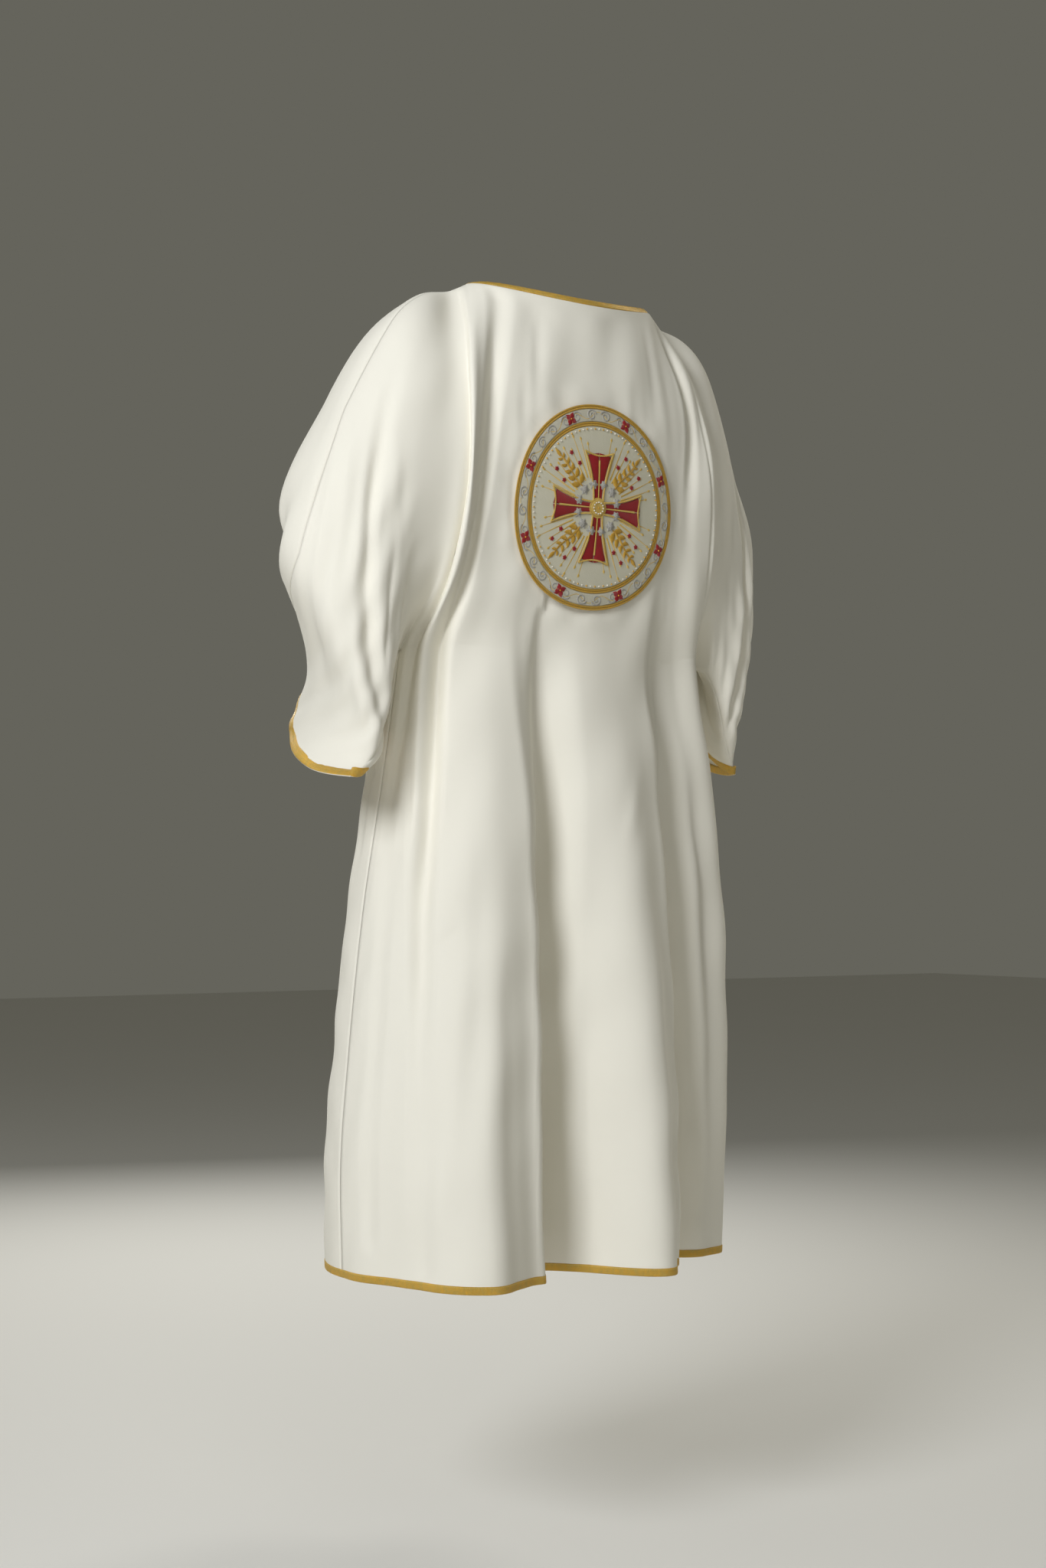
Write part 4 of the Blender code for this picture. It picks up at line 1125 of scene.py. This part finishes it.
def filled_ground(name, colour, second, shadow, pitch=0.0007):
    """A ground of short stitches laid in offset rows, with painted shade in the hollows between them."""
    material, nodes, shader = new_material(name, Sheen_Weight=0.15, Sheen_Roughness=0.4)
    place, u, v = nodes.place()
    row = (v / pitch).whole()
    thread = v.wave(pitch)
    shifted = u + row * (pitch * 2.3)
    ends = shifted.wave(pitch * 7)
    own = nodes.own(row)
    wide = nodes.noise(place, 60.0, 3.0, 0.5)
    body = nodes.mix(own * 0.4 + wide * 0.6, colour, second)
    # Painted shade in the hollows between the rows and at the ends of the stitches.
    hollow = (1.0 - thread.within(-1.0, 0.2)) * 0.5 + (ends.within(0.93, 1.0)) * 0.5
    with_painted_shade = nodes.mix(hollow, body, shadow)
    height = nodes.bump(thread * 0.6 - ends.within(0.9, 1.0), 0.00025, 0.9)
    feed(nodes, shader, Base_Color=with_painted_shade, Roughness=0.5 + own * 0.2, Normal=height)
    return material


def bead_finish(name, colour, metallic, rough):
    """A small glossy bead, a little uneven."""
    material, nodes, shader = new_material(name, Metallic=metallic, Coat_Weight=0.5, Coat_Roughness=0.12)
    cloud = nodes.cloud(420.0, 2.0, 0.5)
    tone = nodes.mix(cloud.within(0.35, 0.7), colour, dimmed(colour, 0.72))
    height = nodes.bump(cloud, 0.0002, 0.4)
    feed(nodes, shader, Base_Color=tone, Roughness=rough + cloud * 0.12, Normal=height)
    return material


def new_tree(name, sizes):
    """A geometry node tree with one geometry input, the named sizes and a material."""
    tree = bpy.data.node_groups.new(name, "GeometryNodeTree")
    tree.interface.new_socket("Geometry", in_out="INPUT", socket_type="NodeSocketGeometry")
    for size in sizes:
        tree.interface.new_socket(size, in_out="INPUT", socket_type="NodeSocketFloat")
    tree.interface.new_socket("Finish", in_out="INPUT", socket_type="NodeSocketMaterial")
    tree.interface.new_socket("Geometry", in_out="OUTPUT", socket_type="NodeSocketGeometry")
    nodes = Nodes(tree)
    given = nodes.node("NodeGroupInput")
    named = {socket.name: Value(nodes, socket) for socket in given.outputs if socket.name}
    return tree, nodes, named


def end_tree(nodes, instances, finish):
    """Every tree ends in real, finished geometry."""
    real = nodes.add("GeometryNodeRealizeInstances", None, instances)
    done = nodes.node("GeometryNodeSetMaterial")
    nodes.put(done.inputs["Geometry"], real)
    nodes.put(done.inputs["Material"], finish)
    out = nodes.node("NodeGroupOutput")
    nodes.tree.links.new(done.outputs[0], out.inputs[0])


def stitch_tree():
    """Small round-ended stitches at an even pitch along lines."""
    tree, nodes, given = new_tree("stitches", ("Pitch", "Length", "Thickness"))
    curve = nodes.add("GeometryNodeMeshToCurve", None, given["Geometry"])
    points = nodes.node("GeometryNodeCurveToPoints", {"mode": "LENGTH"})
    nodes.put(points.inputs["Curve"], curve)
    nodes.put(points.inputs["Length"], given["Pitch"])
    ball = nodes.node("GeometryNodeMeshUVSphere", None, Segments=6, Rings=4, Radius=0.5)
    scale = nodes.joined(given["Thickness"], given["Thickness"], given["Length"])
    placed = nodes.node("GeometryNodeInstanceOnPoints")
    nodes.tree.links.new(points.outputs["Points"], placed.inputs["Points"])
    nodes.tree.links.new(ball.outputs["Mesh"], placed.inputs["Instance"])
    nodes.tree.links.new(points.outputs["Rotation"], placed.inputs["Rotation"])
    nodes.put(placed.inputs["Scale"], scale)
    end_tree(nodes, Value(nodes, placed.outputs[0]), given["Finish"])
    return tree


def bead_tree():
    """A round bead on every point."""
    tree, nodes, given = new_tree("beads", ("Width",))
    ball = nodes.node("GeometryNodeMeshUVSphere", None, Segments=12, Rings=8, Radius=0.5)
    placed = nodes.node("GeometryNodeInstanceOnPoints")
    nodes.put(placed.inputs["Points"], given["Geometry"])
    nodes.tree.links.new(ball.outputs["Mesh"], placed.inputs["Instance"])
    nodes.put(placed.inputs["Scale"], nodes.joined(given["Width"], given["Width"], given["Width"]))
    end_tree(nodes, Value(nodes, placed.outputs[0]), given["Finish"])
    return tree


def repeated(name, tree, lines, finish, slot, **sizes):
    """Run a tree over lines of points and keep the result as plain mesh."""
    mesh = bpy.data.meshes.new(name)
    points = np.concatenate(lines)
    edges = []
    first = 0
    for line in lines:
        edges += [(first + step, first + step + 1) for step in range(len(line) - 1)]
        first += len(line)
    mesh.from_pydata(points.tolist(), edges if "Pitch" in sizes else [], [])
    piece = bpy.data.objects.new(name, mesh)
    bpy.context.scene.collection.objects.link(piece)
    modifier = piece.modifiers.new("Repeat", "NODES")
    modifier.node_group = tree
    sizes["Finish"] = finish
    for socket in tree.interface.items_tree:
        if socket.in_out == "INPUT" and socket.name in sizes:
            modifier[socket.identifier] = sizes[socket.name]
    piece = finished(piece, finish)
    piece.data.shade_smooth()
    return piece


def power_property(name, words, value):
    return bpy.props.FloatProperty(name=name, description=words, unit="POWER", default=value)


def colour_property(name, words, value):
    return bpy.props.FloatVectorProperty(
        name=name, description=words, subtype="COLOR", size=3, min=0.0, max=1.0, default=value
    )


def size_property(name, words, value):
    return bpy.props.FloatProperty(name=name, description=words, unit="LENGTH", precision=5, default=value)


class ClothSettings(bpy.types.PropertyGroup):
    """The cream cloth."""

    colour: colour_property("Cream", "Main colour of the cloth", (0.845, 0.845, 0.7))
    warm_colour: colour_property("Warm cream", "Colour of its warmer places", (0.83, 0.83, 0.67))
    thread_colour: colour_property("Thread", "Colour of the thicker threads", (0.89, 0.89, 0.765))
    # The colour of the painted shade between the cloth's threads.
    gap_shade_colour: colour_property("Gaps", "Colour between the threads", (0.52, 0.5, 0.35))
    thread: size_property("Thread pitch", "Distance from thread to thread", 0.00085)
    weave_depth: bpy.props.FloatProperty(
        name="Weave depth", description="Strength of the weave", default=0.55
    )
    wall: size_property("Thickness", "Thickness of the cloth", 0.0012)


class GoldSettings(bpy.types.PropertyGroup):
    """The gold bindings, cords and thread."""

    gold: colour_property("Gold", "Main colour of the gold thread", (0.92, 0.54, 0.07))
    # The colour of the painted glints on the gold fabric; the gold thread and sewing also use it as a plain
    # thread colour.
    gold_bright: colour_property("Bright gold", "Colour of its glints", (1.0, 0.82, 0.28))
    gold_deep: colour_property("Deep gold", "Colour between the glints", (0.55, 0.31, 0.025))
    gold_shadow: colour_property("Gold in shade", "Colour in the hollows of the weave", (0.2, 0.1, 0.012))
    binding_thickness: size_property("Binding thickness", "Thickness of the folded binding", 0.003)
    stitch_pitch: size_property("Stitch pitch", "Distance from stitch to stitch", 0.0027)


class PatchSettings(bpy.types.PropertyGroup):
    """The embroidered patch."""

    field: colour_property("Field", "Colour of the patch's field", (0.83, 0.79, 0.6))
    field_light: colour_property("Light field", "Its lighter threads", (0.88, 0.85, 0.7))
    border: colour_property("Border", "Colour of the patch's border", (0.78, 0.74, 0.58))
    border_light: colour_property("Light border", "Its lighter threads", (0.86, 0.83, 0.7))
    silver: colour_property("Silver", "Colour of the leaves and scrolls", (0.44, 0.41, 0.36))
    silver_light: colour_property("Light silver", "Their lighter threads", (0.72, 0.71, 0.67))
    red: colour_property("Red", "Colour of the cross and florets", (0.3, 0.006, 0.014))
    red_light: colour_property("Light red", "Their lighter threads", (0.52, 0.014, 0.02))
    bead: colour_property("Beads", "Colour of the pearl beads", (0.86, 0.82, 0.72))
    bead_width: size_property("Bead width", "Width of the rim's beads", 0.0021)


class StudioSettings(bpy.types.PropertyGroup):
    """Camera, light and floor."""

    floor: size_property("Floor", "Height of the floor below the neck", -1.56)
    key: power_property("Key light", "Power of the main light", 95.0)
    front: power_property("Front light", "Power of the soft light", 11.0)
    rim: power_property("Rim light", "Power of the rim light", 16.0)
    far_side: power_property("Far light", "Power of the light on the hidden side", 50.0)
    fill: bpy.props.FloatProperty(name="Room light", description="Strength of the room's light", default=0.14)
    floor_colour: colour_property("Floor colour", "Colour of the floor", (0.78, 0.77, 0.74))


def settings(name):
    return getattr(bpy.context.scene, "dalmatic_" + name)


def material(name, make, *values, **named):
    """A finish by its name, made the first time that it is wanted."""
    return bpy.data.materials.get(name) or make(name, *values, **named)


def gold_thread():
    gold = settings("gold")
    colours = (gold.gold, gold.gold_bright, gold.gold_shadow)
    return material("gold_thread", thread_fill, *colours, metallic=0.3, rough=0.34)


def make_cloth(side):
    """One continuous cloth: a panel with its half of both sleeves."""
    upper, upper_place, lower, lower_place = cloth_points(side)
    rows, columns = upper.shape[:2]
    wide = lower.shape[1]
    shared = (rows - 1) * columns + SLEEVE_STEPS + np.arange(wide)
    below = np.arange((len(lower) - 1) * wide).reshape(-1, wide) + rows * columns
    faces = np.concatenate([grid_faces(rows, columns), corners_of(np.concatenate([shared[None], below]))])
    if side == "front":
        faces = flipped(faces)
    points = np.concatenate([upper.reshape(-1, 3), lower[1:].reshape(-1, 3)])
    spots = np.concatenate([upper_place.reshape(-1, 2), lower_place[1:].reshape(-1, 2)])
    return new_mesh(side + "_cloth", points, faces, spots[faces.ravel()])


def cut_of(side):
    """A cloth's cut: its width from cuff to cuff, its length, and its area."""
    upper, _, lower, _ = cloth_points(side)
    hem = lengths(lower[-1])[-1]
    body = lengths(upper[ARMHOLE_ROWS // 2, SLEEVE_STEPS : SLEEVE_STEPS + PANEL_COLUMNS])[-1]
    width = body + 2 * SLEEVE_LENGTH
    sleeve_depth = UNDERARM_DROP + 2 * SEAM_ALLOWANCE
    area = (body + hem) / 2 * LENGTH + 2 * SLEEVE_LENGTH * sleeve_depth * SLEEVE_TAPER
    return width, LENGTH + SEAM_ALLOWANCE, min(area, width * LENGTH)


def make_side(side):
    """Make one cloth with its finish. The cut that it stands for is worked out but not kept."""
    piece = make_cloth(side)
    thicken(piece, settings("cloth").wall)
    finish = material("cream_cloth", cream_cloth, settings("cloth"))
    finished(piece, finish, (side, "left_sleeve_" + side, "right_sleeve_" + side))
    width, length, area = cut_of(side)
    return {"FINISHED"}


def edge_loop(kind):
    """The edge that a binding goes round, and the way in from it."""
    lines, ways = [], []
    for side in SIDES:
        order = slice(None, None, 1 if side == "back" else -1)
        if kind == "neck":
            angle = np.linspace(0, np.pi, 240)
            way = neck_way(side, angle)
            line, way = neck_edge(side, angle) + way * NECK_BAND, -way
        else:
            upper, _, lower, _ = cloth_points(side)
            if kind == "hem":
                line, beside = lower[-1], lower[-3]
            else:
                column = {"left": 0, "right": -1}[kind]
                line, beside = upper[:, column], upper[:, {"left": 2, "right": -3}[kind]]
            way = unit(beside - line)
        lines.append(line[order][:-1])
        ways.append(way[order][:-1])
    return np.concatenate(lines), np.concatenate(ways)


BANDS = (
    ("neck", NECK_BAND, "neck_binding"),
    ("left", CUFF_BAND, "left_cuff_binding"),
    ("right", CUFF_BAND, "right_cuff_binding"),
    ("hem", HEM_BAND, "hem_binding"),
)


class MakeBack(bpy.types.Operator):
    """Make the back, cut in one with the backs of both sleeves"""

    bl_idname = "dalmatic.back"
    bl_label = "Back cloth"

    def execute(self, context):
        return make_side("back")


class MakeFront(bpy.types.Operator):
    """Make the front, cut in one with the fronts of both sleeves"""

    bl_idname = "dalmatic.front"
    bl_label = "Front cloth"

    def execute(self, context):
        return make_side("front")


class MakeBindings(bpy.types.Operator):
    """Make the gold bindings of the neck, the cuffs and the hem"""

    bl_idname = "dalmatic.bindings"
    bl_label = "Gold bindings"

    def execute(self, context):
        gold = settings("gold")
        finish = material("gold_binding", gold_fabric, gold)
        for seed, (kind, width, node) in enumerate(BANDS):
            edge, inward = edge_loop(kind)
            ring, want, at = closed_line(edge, BAND_SPACING)
            way = unit(read_at(want, at, looped(inward)))
            shapes = Shapes()
            band_loop(shapes, ring, way, width, gold.binding_thickness, seed)
            finished(shapes.piece(kind + "_binding_cloth"), finish, (node,))
        return {"FINISHED"}


def band_stitch_lines():
    """Lines along the bindings' inner rims, on their outer and inner faces."""
    lines = []
    for kind, width, _ in BANDS:
        edge, inward = edge_loop(kind)
        face = unit(np.cross(unit(ahead_of(edge)), inward))
        lift = settings("gold").binding_thickness * 0.46
        for way in (1, -1):
            line = edge + inward * (width - 0.0016) + face * lift * way
            lines.append(looped(line))
    return lines


class MakeStitches(bpy.types.Operator):
    """Sew the bindings down"""

    bl_idname = "dalmatic.stitches"
    bl_label = "Sewing"

    def execute(self, context):
        gold = settings("gold")
        finish = bead_finish("gold_sewing", list(gold.gold_bright), 0.5, 0.4)
        pitch = gold.stitch_pitch
        repeated(
            "binding_stitches", stitch_tree(), band_stitch_lines(), finish, "gold_cloth",
            Pitch=pitch, Length=pitch * 0.72, Thickness=0.0005,
        )
        return {"FINISHED"}


class MakePatch(bpy.types.Operator):
    """Make the patch's field, border and twisted gold rims"""

    bl_idname = "dalmatic.patch"
    bl_label = "Patch"

    def execute(self, context):
        patch = settings("patch")
        field = Shapes()
        disc(field, FIELD_RADIUS, GROUND_BASE, GROUND)
        ground = filled_ground("patch_field", patch.field, patch.field_light, dimmed(patch.field, 0.45))
        finished(field.piece("patch_field"), ground, ("medallion_field",))
        border = Shapes()
        disc(border, BORDER_RADIUS, GROUND_BASE, GROUND, rings=8, spokes=240, inner=BORDER_INNER)
        shade = dimmed(patch.border, 0.4)
        ground = filled_ground("patch_border", patch.border, patch.border_light, shade, 0.0006)
        finished(border.piece("patch_border"), ground, ("medallion_border",))
        cord = material("gold_cord", gold_fabric, settings("gold"), 0.0006, 0.3)
        for name, radius, node in (
            ("outer_rim", RIM_OUTER, "medallion_outer_cord"), ("inner_rim", RIM_INNER, "medallion_inner_cord")
        ):
            shapes = Shapes()
            for shift in (-1, 1):
                circle = arc_line(radius + shift * CORD_WIDTH * 0.25, 0, TURN * shift, 721)[:-1]
                rope(shapes, circle, MEDALLION_LIFT + 0.001, ROPE_RADIUS, ROPE_PITCH, closed=True)
            finished(shapes.piece(name), cord, (node,))
        return {"FINISHED"}


class MakeBorder(bpy.types.Operator):
    """Embroider the border with scrolls and florets"""

    bl_idname = "dalmatic.border"
    bl_label = "Border embroidery"

    def execute(self, context):
        patch = settings("patch")
        scrolls, red, gold = Shapes(), Shapes(), Shapes()
        for number in range(FLORETS):
            middle = (number + 0.5) * TURN / FLORETS
            between = middle + TURN / FLORETS / 2
            for hand in (1, -1):
                scroll(scrolls, between, hand)
                scroll(scrolls, between + hand * 0.215, hand)
            radius = BORDER_MIDDLE + 0.0042 * np.cos(np.linspace(0, TURN * 2, 60))
            stem = polar(radius, np.linspace(middle + 0.07, middle + TURN / FLORETS - 0.07, 60))
            satin(gold, stem, 0.00045, 0.0005)
            spot = polar(BORDER_MIDDLE, middle)
            flower(red, spot, 4, middle + QUARTER / 2, 0.0088, 0.0034, 0.0014)
            flower(gold, spot, 4, middle + QUARTER, 0.006, 0.0006, 0.001)
        shade = dimmed(patch.red, 0.35)
        red_thread = thread_fill("red_thread", patch.red, patch.red_light, shade, rough=0.36)
        shade = dimmed(patch.silver, 0.35)
        silver = thread_fill("silver_thread", patch.silver, patch.silver_light, shade, metallic=0.1)
        finished(scrolls.piece("border_scrolls"), silver)
        finished(red.piece("border_florets"), red_thread)
        finished(gold.piece("border_stems"), gold_thread())
        return {"FINISHED"}


def ray_fan(rays, diagonal):
    """The rays between two arms of the cross, each with a leaf at its tip."""
    share = np.linspace(0, 1, 12)
    for number in range(-RAYS, RAYS + 1):
        angle = diagonal + number * RAY_STEP
        tip = FIELD_RADIUS * RAY_TIPS[number % 3]
        start = 0.036 + 0.002 * (number % 2)
        line = share[:, None] * polar(tip - start, angle) + polar(start, angle)
        satin(rays, line, 0.00125 * (1 - share * 0.62), 0.0007, STITCH_BASE)
        leaf(rays, polar(tip - 0.001, angle), angle, 0.0048, 0.0016, 0.001)


def sprig(leaves, diagonal):
    """A stem with pairs of leaves and one at its tip."""
    share = np.linspace(0, 1, 16)
    stem = np.stack([0.034 + 0.047 * share, 0.0016 * np.sin(share * TURN)], axis=-1)
    satin(leaves, turned(stem, diagonal), 0.0007, 0.001, STITCH_BASE + 0.0006)
    for number in range(SPRIG_LEAVES):
        root = polar(0.038 + 0.0096 * number, diagonal)
        size = 1.0 - 0.12 * number
        for hand in (1, -1):
            leaf(leaves, root, diagonal + hand * 0.92, 0.0132 * size, 0.0036 * size, 0.0016, hand * 0.0014)
    leaf(leaves, polar(0.079, diagonal), diagonal, 0.0115, 0.0026, 0.0016)


class MakeCross(bpy.types.Operator):
    """Embroider the cross with its rays and sprigs"""

    bl_idname = "dalmatic.cross"
    bl_label = "Cross, rays and sprigs"

    def execute(self, context):
        fill, edge, rays, leaves, buds, wreath = (Shapes() for _ in range(6))
        for quarter in range(4):
            turn = quarter * QUARTER
            cross_arm(fill, edge, turn)
            diagonal = turn + QUARTER / 2
            ray_fan(rays, diagonal)
            sprig(leaves, diagonal)
            for hand in (1, -1):
                for reach, spread in BUD_PLACES:
                    flower(buds, polar(reach, diagonal + hand * spread), 5, diagonal, 0.0032, 0.0013, 0.0016)
        for number in range(WREATH_FLOWERS):
            spot = polar(WREATH_RADIUS, (number + 0.5) * TURN / WREATH_FLOWERS)
            for size, lift in WREATH_LAYERS:
                flower(wreath, spot, 6, lift * 400, 0.007 * size, 0.0026 * size, 0.0014 + lift)
        disc(edge, 0.0105, GROUND - 0.0002, GROUND + CROSS_HEIGHT * 0.9, 0.0018, 8, 40)
        rope(edge, arc_line(0.0112, 0, TURN, 97)[:-1], GROUND + 0.0006, 0.001, 0.0034, closed=True)
        gold = settings("gold")
        old_gold = (gold.gold_deep, gold.gold, gold.gold_shadow)
        sprigs = material("gold_sprig", thread_fill, *old_gold, metallic=0.25, rough=0.38)
        red, silver = (bpy.data.materials[name] for name in ("red_thread", "silver_thread"))
        finished(fill.piece("cross_filling"), red, ("medallion_cross",))
        finished(edge.piece("cross_outline"), gold_thread())
        finished(rays.piece("field_rays"), gold_thread())
        finished(leaves.piece("field_sprigs"), sprigs)
        finished(wreath.piece("field_wreath"), silver)
        finished(buds.piece("field_buds"), red)
        return {"FINISHED"}


class MakeBeads(bpy.types.Operator):
    """Sew beads round the field, the florets and the middle of the cross"""

    bl_idname = "dalmatic.beads"
    bl_label = "Beads"

    def execute(self, context):
        patch, gold = settings("patch"), settings("gold")
        tree = bead_tree()
        ring = arc_line(FIELD_RADIUS - 0.003, 0, TURN, 97)[:-1]
        boss = arc_line(0.0068, 0, TURN, 13)[:-1]
        half = patch.bead_width / 2
        middles = (np.arange(FLORETS) + 0.5) * TURN / FLORETS
        pearl = [on_patch(ring[::2], GROUND + half * 0.7), on_patch(boss, GROUND + CROSS_HEIGHT + half * 0.4)]
        gilt = [
            on_patch(ring[1::2], GROUND + half * 0.7),
            on_patch(np.zeros((1, 2)), GROUND + CROSS_HEIGHT + half * 0.8),
            on_patch(polar(BORDER_MIDDLE, middles), GROUND + half * 0.9),
        ]
        finish = bead_finish("pearl_bead", list(patch.bead), 0.0, 0.22)
        repeated("pearl_beads", tree, pearl, finish, "pale_embroidery", Width=patch.bead_width)
        finish = bead_finish("gold_bead", list(gold.gold), 0.8, 0.25)
        repeated("gold_beads", tree, gilt, finish, "gold_cloth", Width=patch.bead_width)
        return {"FINISHED"}


def area_light(name, place, size, colour, power):
    data = bpy.data.lights.new(name, "AREA")
    data.energy = power
    data.shape = "DISK"
    data.size = size
    data.color = colour
    light = bpy.data.objects.new(name, data)
    light.location = place
    light.rotation_euler = (Vector(LIGHTS_AIM) - light.location).to_track_quat("-Z", "Y").to_euler()
    bpy.context.scene.collection.objects.link(light)


class MakeStudio(bpy.types.Operator):
    """Set up the camera, the lights and the floor"""

    bl_idname = "dalmatic.studio"
    bl_label = "Studio"

    def execute(self, context):
        studio = settings("studio")
        scene = context.scene
        data = bpy.data.cameras.new("camera")
        data.lens = 50.0
        data.sensor_width = 36.0
        data.shift_y = HORIZON_SHIFT
        camera = bpy.data.objects.new("camera", data)
        camera.location = CAMERA_PLACE
        camera.rotation_euler = (math.radians(90), 0, math.radians(CAMERA_TURN))
        scene.collection.objects.link(camera)
        scene.camera = camera
        for name, place, size, colour in LIGHTS:
            area_light(name, place, size, colour, getattr(studio, name.replace(" ", "_")))
        world = bpy.data.worlds.new("room")
        world.use_nodes = True
        background = next(node for node in world.node_tree.nodes if node.type == "BACKGROUND")
        background.inputs["Color"].default_value = ROOM_COLOUR
        background.inputs["Strength"].default_value = studio.fill
        scene.world = world
        scene.view_settings.view_transform = "Standard"
        floor_finish, nodes, shader = new_material("floor", Specular_IOR_Level=0.2)
        cloud = nodes.cloud(0.8, 3.0, 0.5)
        tone = nodes.mix(cloud * 0.12, studio.floor_colour, FLOOR_SHADE)
        feed(nodes, shader, Base_Color=tone, Roughness=0.7 + cloud * 0.1)
        signs = ((-1, -1), (1, -1), (1, 1), (-1, 1))
        corners = [(x * FLOOR_REACH, y * FLOOR_REACH, studio.floor) for x, y in signs]
        floor = new_mesh("floor", corners, [(0, 1, 2, 3)])
        floor.data.materials.append(floor_finish)
        return {"FINISHED"}


PIECES = (
    MakeBack, MakeFront, MakeBindings, MakeStitches, MakePatch, MakeBorder, MakeCross, MakeBeads, MakeStudio
)
GROUPS = (
    ("cloth", ClothSettings), ("gold", GoldSettings), ("patch", PatchSettings), ("studio", StudioSettings)
)


class DalmaticPanel(bpy.types.Panel):
    """Lists the settings and the pieces"""

    bl_idname = "VIEW3D_PT_dalmatic"
    bl_label = "Dalmatic"
    bl_space_type = "VIEW_3D"
    bl_region_type = "UI"
    bl_category = "Dalmatic"

    def draw(self, context):
        for name, group in GROUPS:
            box = self.layout.box()
            box.label(text=name.capitalize())
            for field in group.__annotations__:
                box.prop(settings(name), field)
        for piece in PIECES:
            self.layout.operator(piece.bl_idname)


def register():
    for group in [kind for _, kind in GROUPS] + list(PIECES) + [DalmaticPanel]:
        bpy.utils.register_class(group)
    for name, group in GROUPS:
        setattr(bpy.types.Scene, "dalmatic_" + name, bpy.props.PointerProperty(type=group))


def unregister():
    for name, _ in GROUPS:
        delattr(bpy.types.Scene, "dalmatic_" + name)
    for group in [DalmaticPanel] + list(PIECES)[::-1] + [kind for _, kind in GROUPS]:
        bpy.utils.unregister_class(group)


def main():
    register()
    for piece in PIECES:
        group, name = piece.bl_idname.split(".")
        getattr(getattr(bpy.ops, group), name)()


if __name__ == "__main__":
    main()
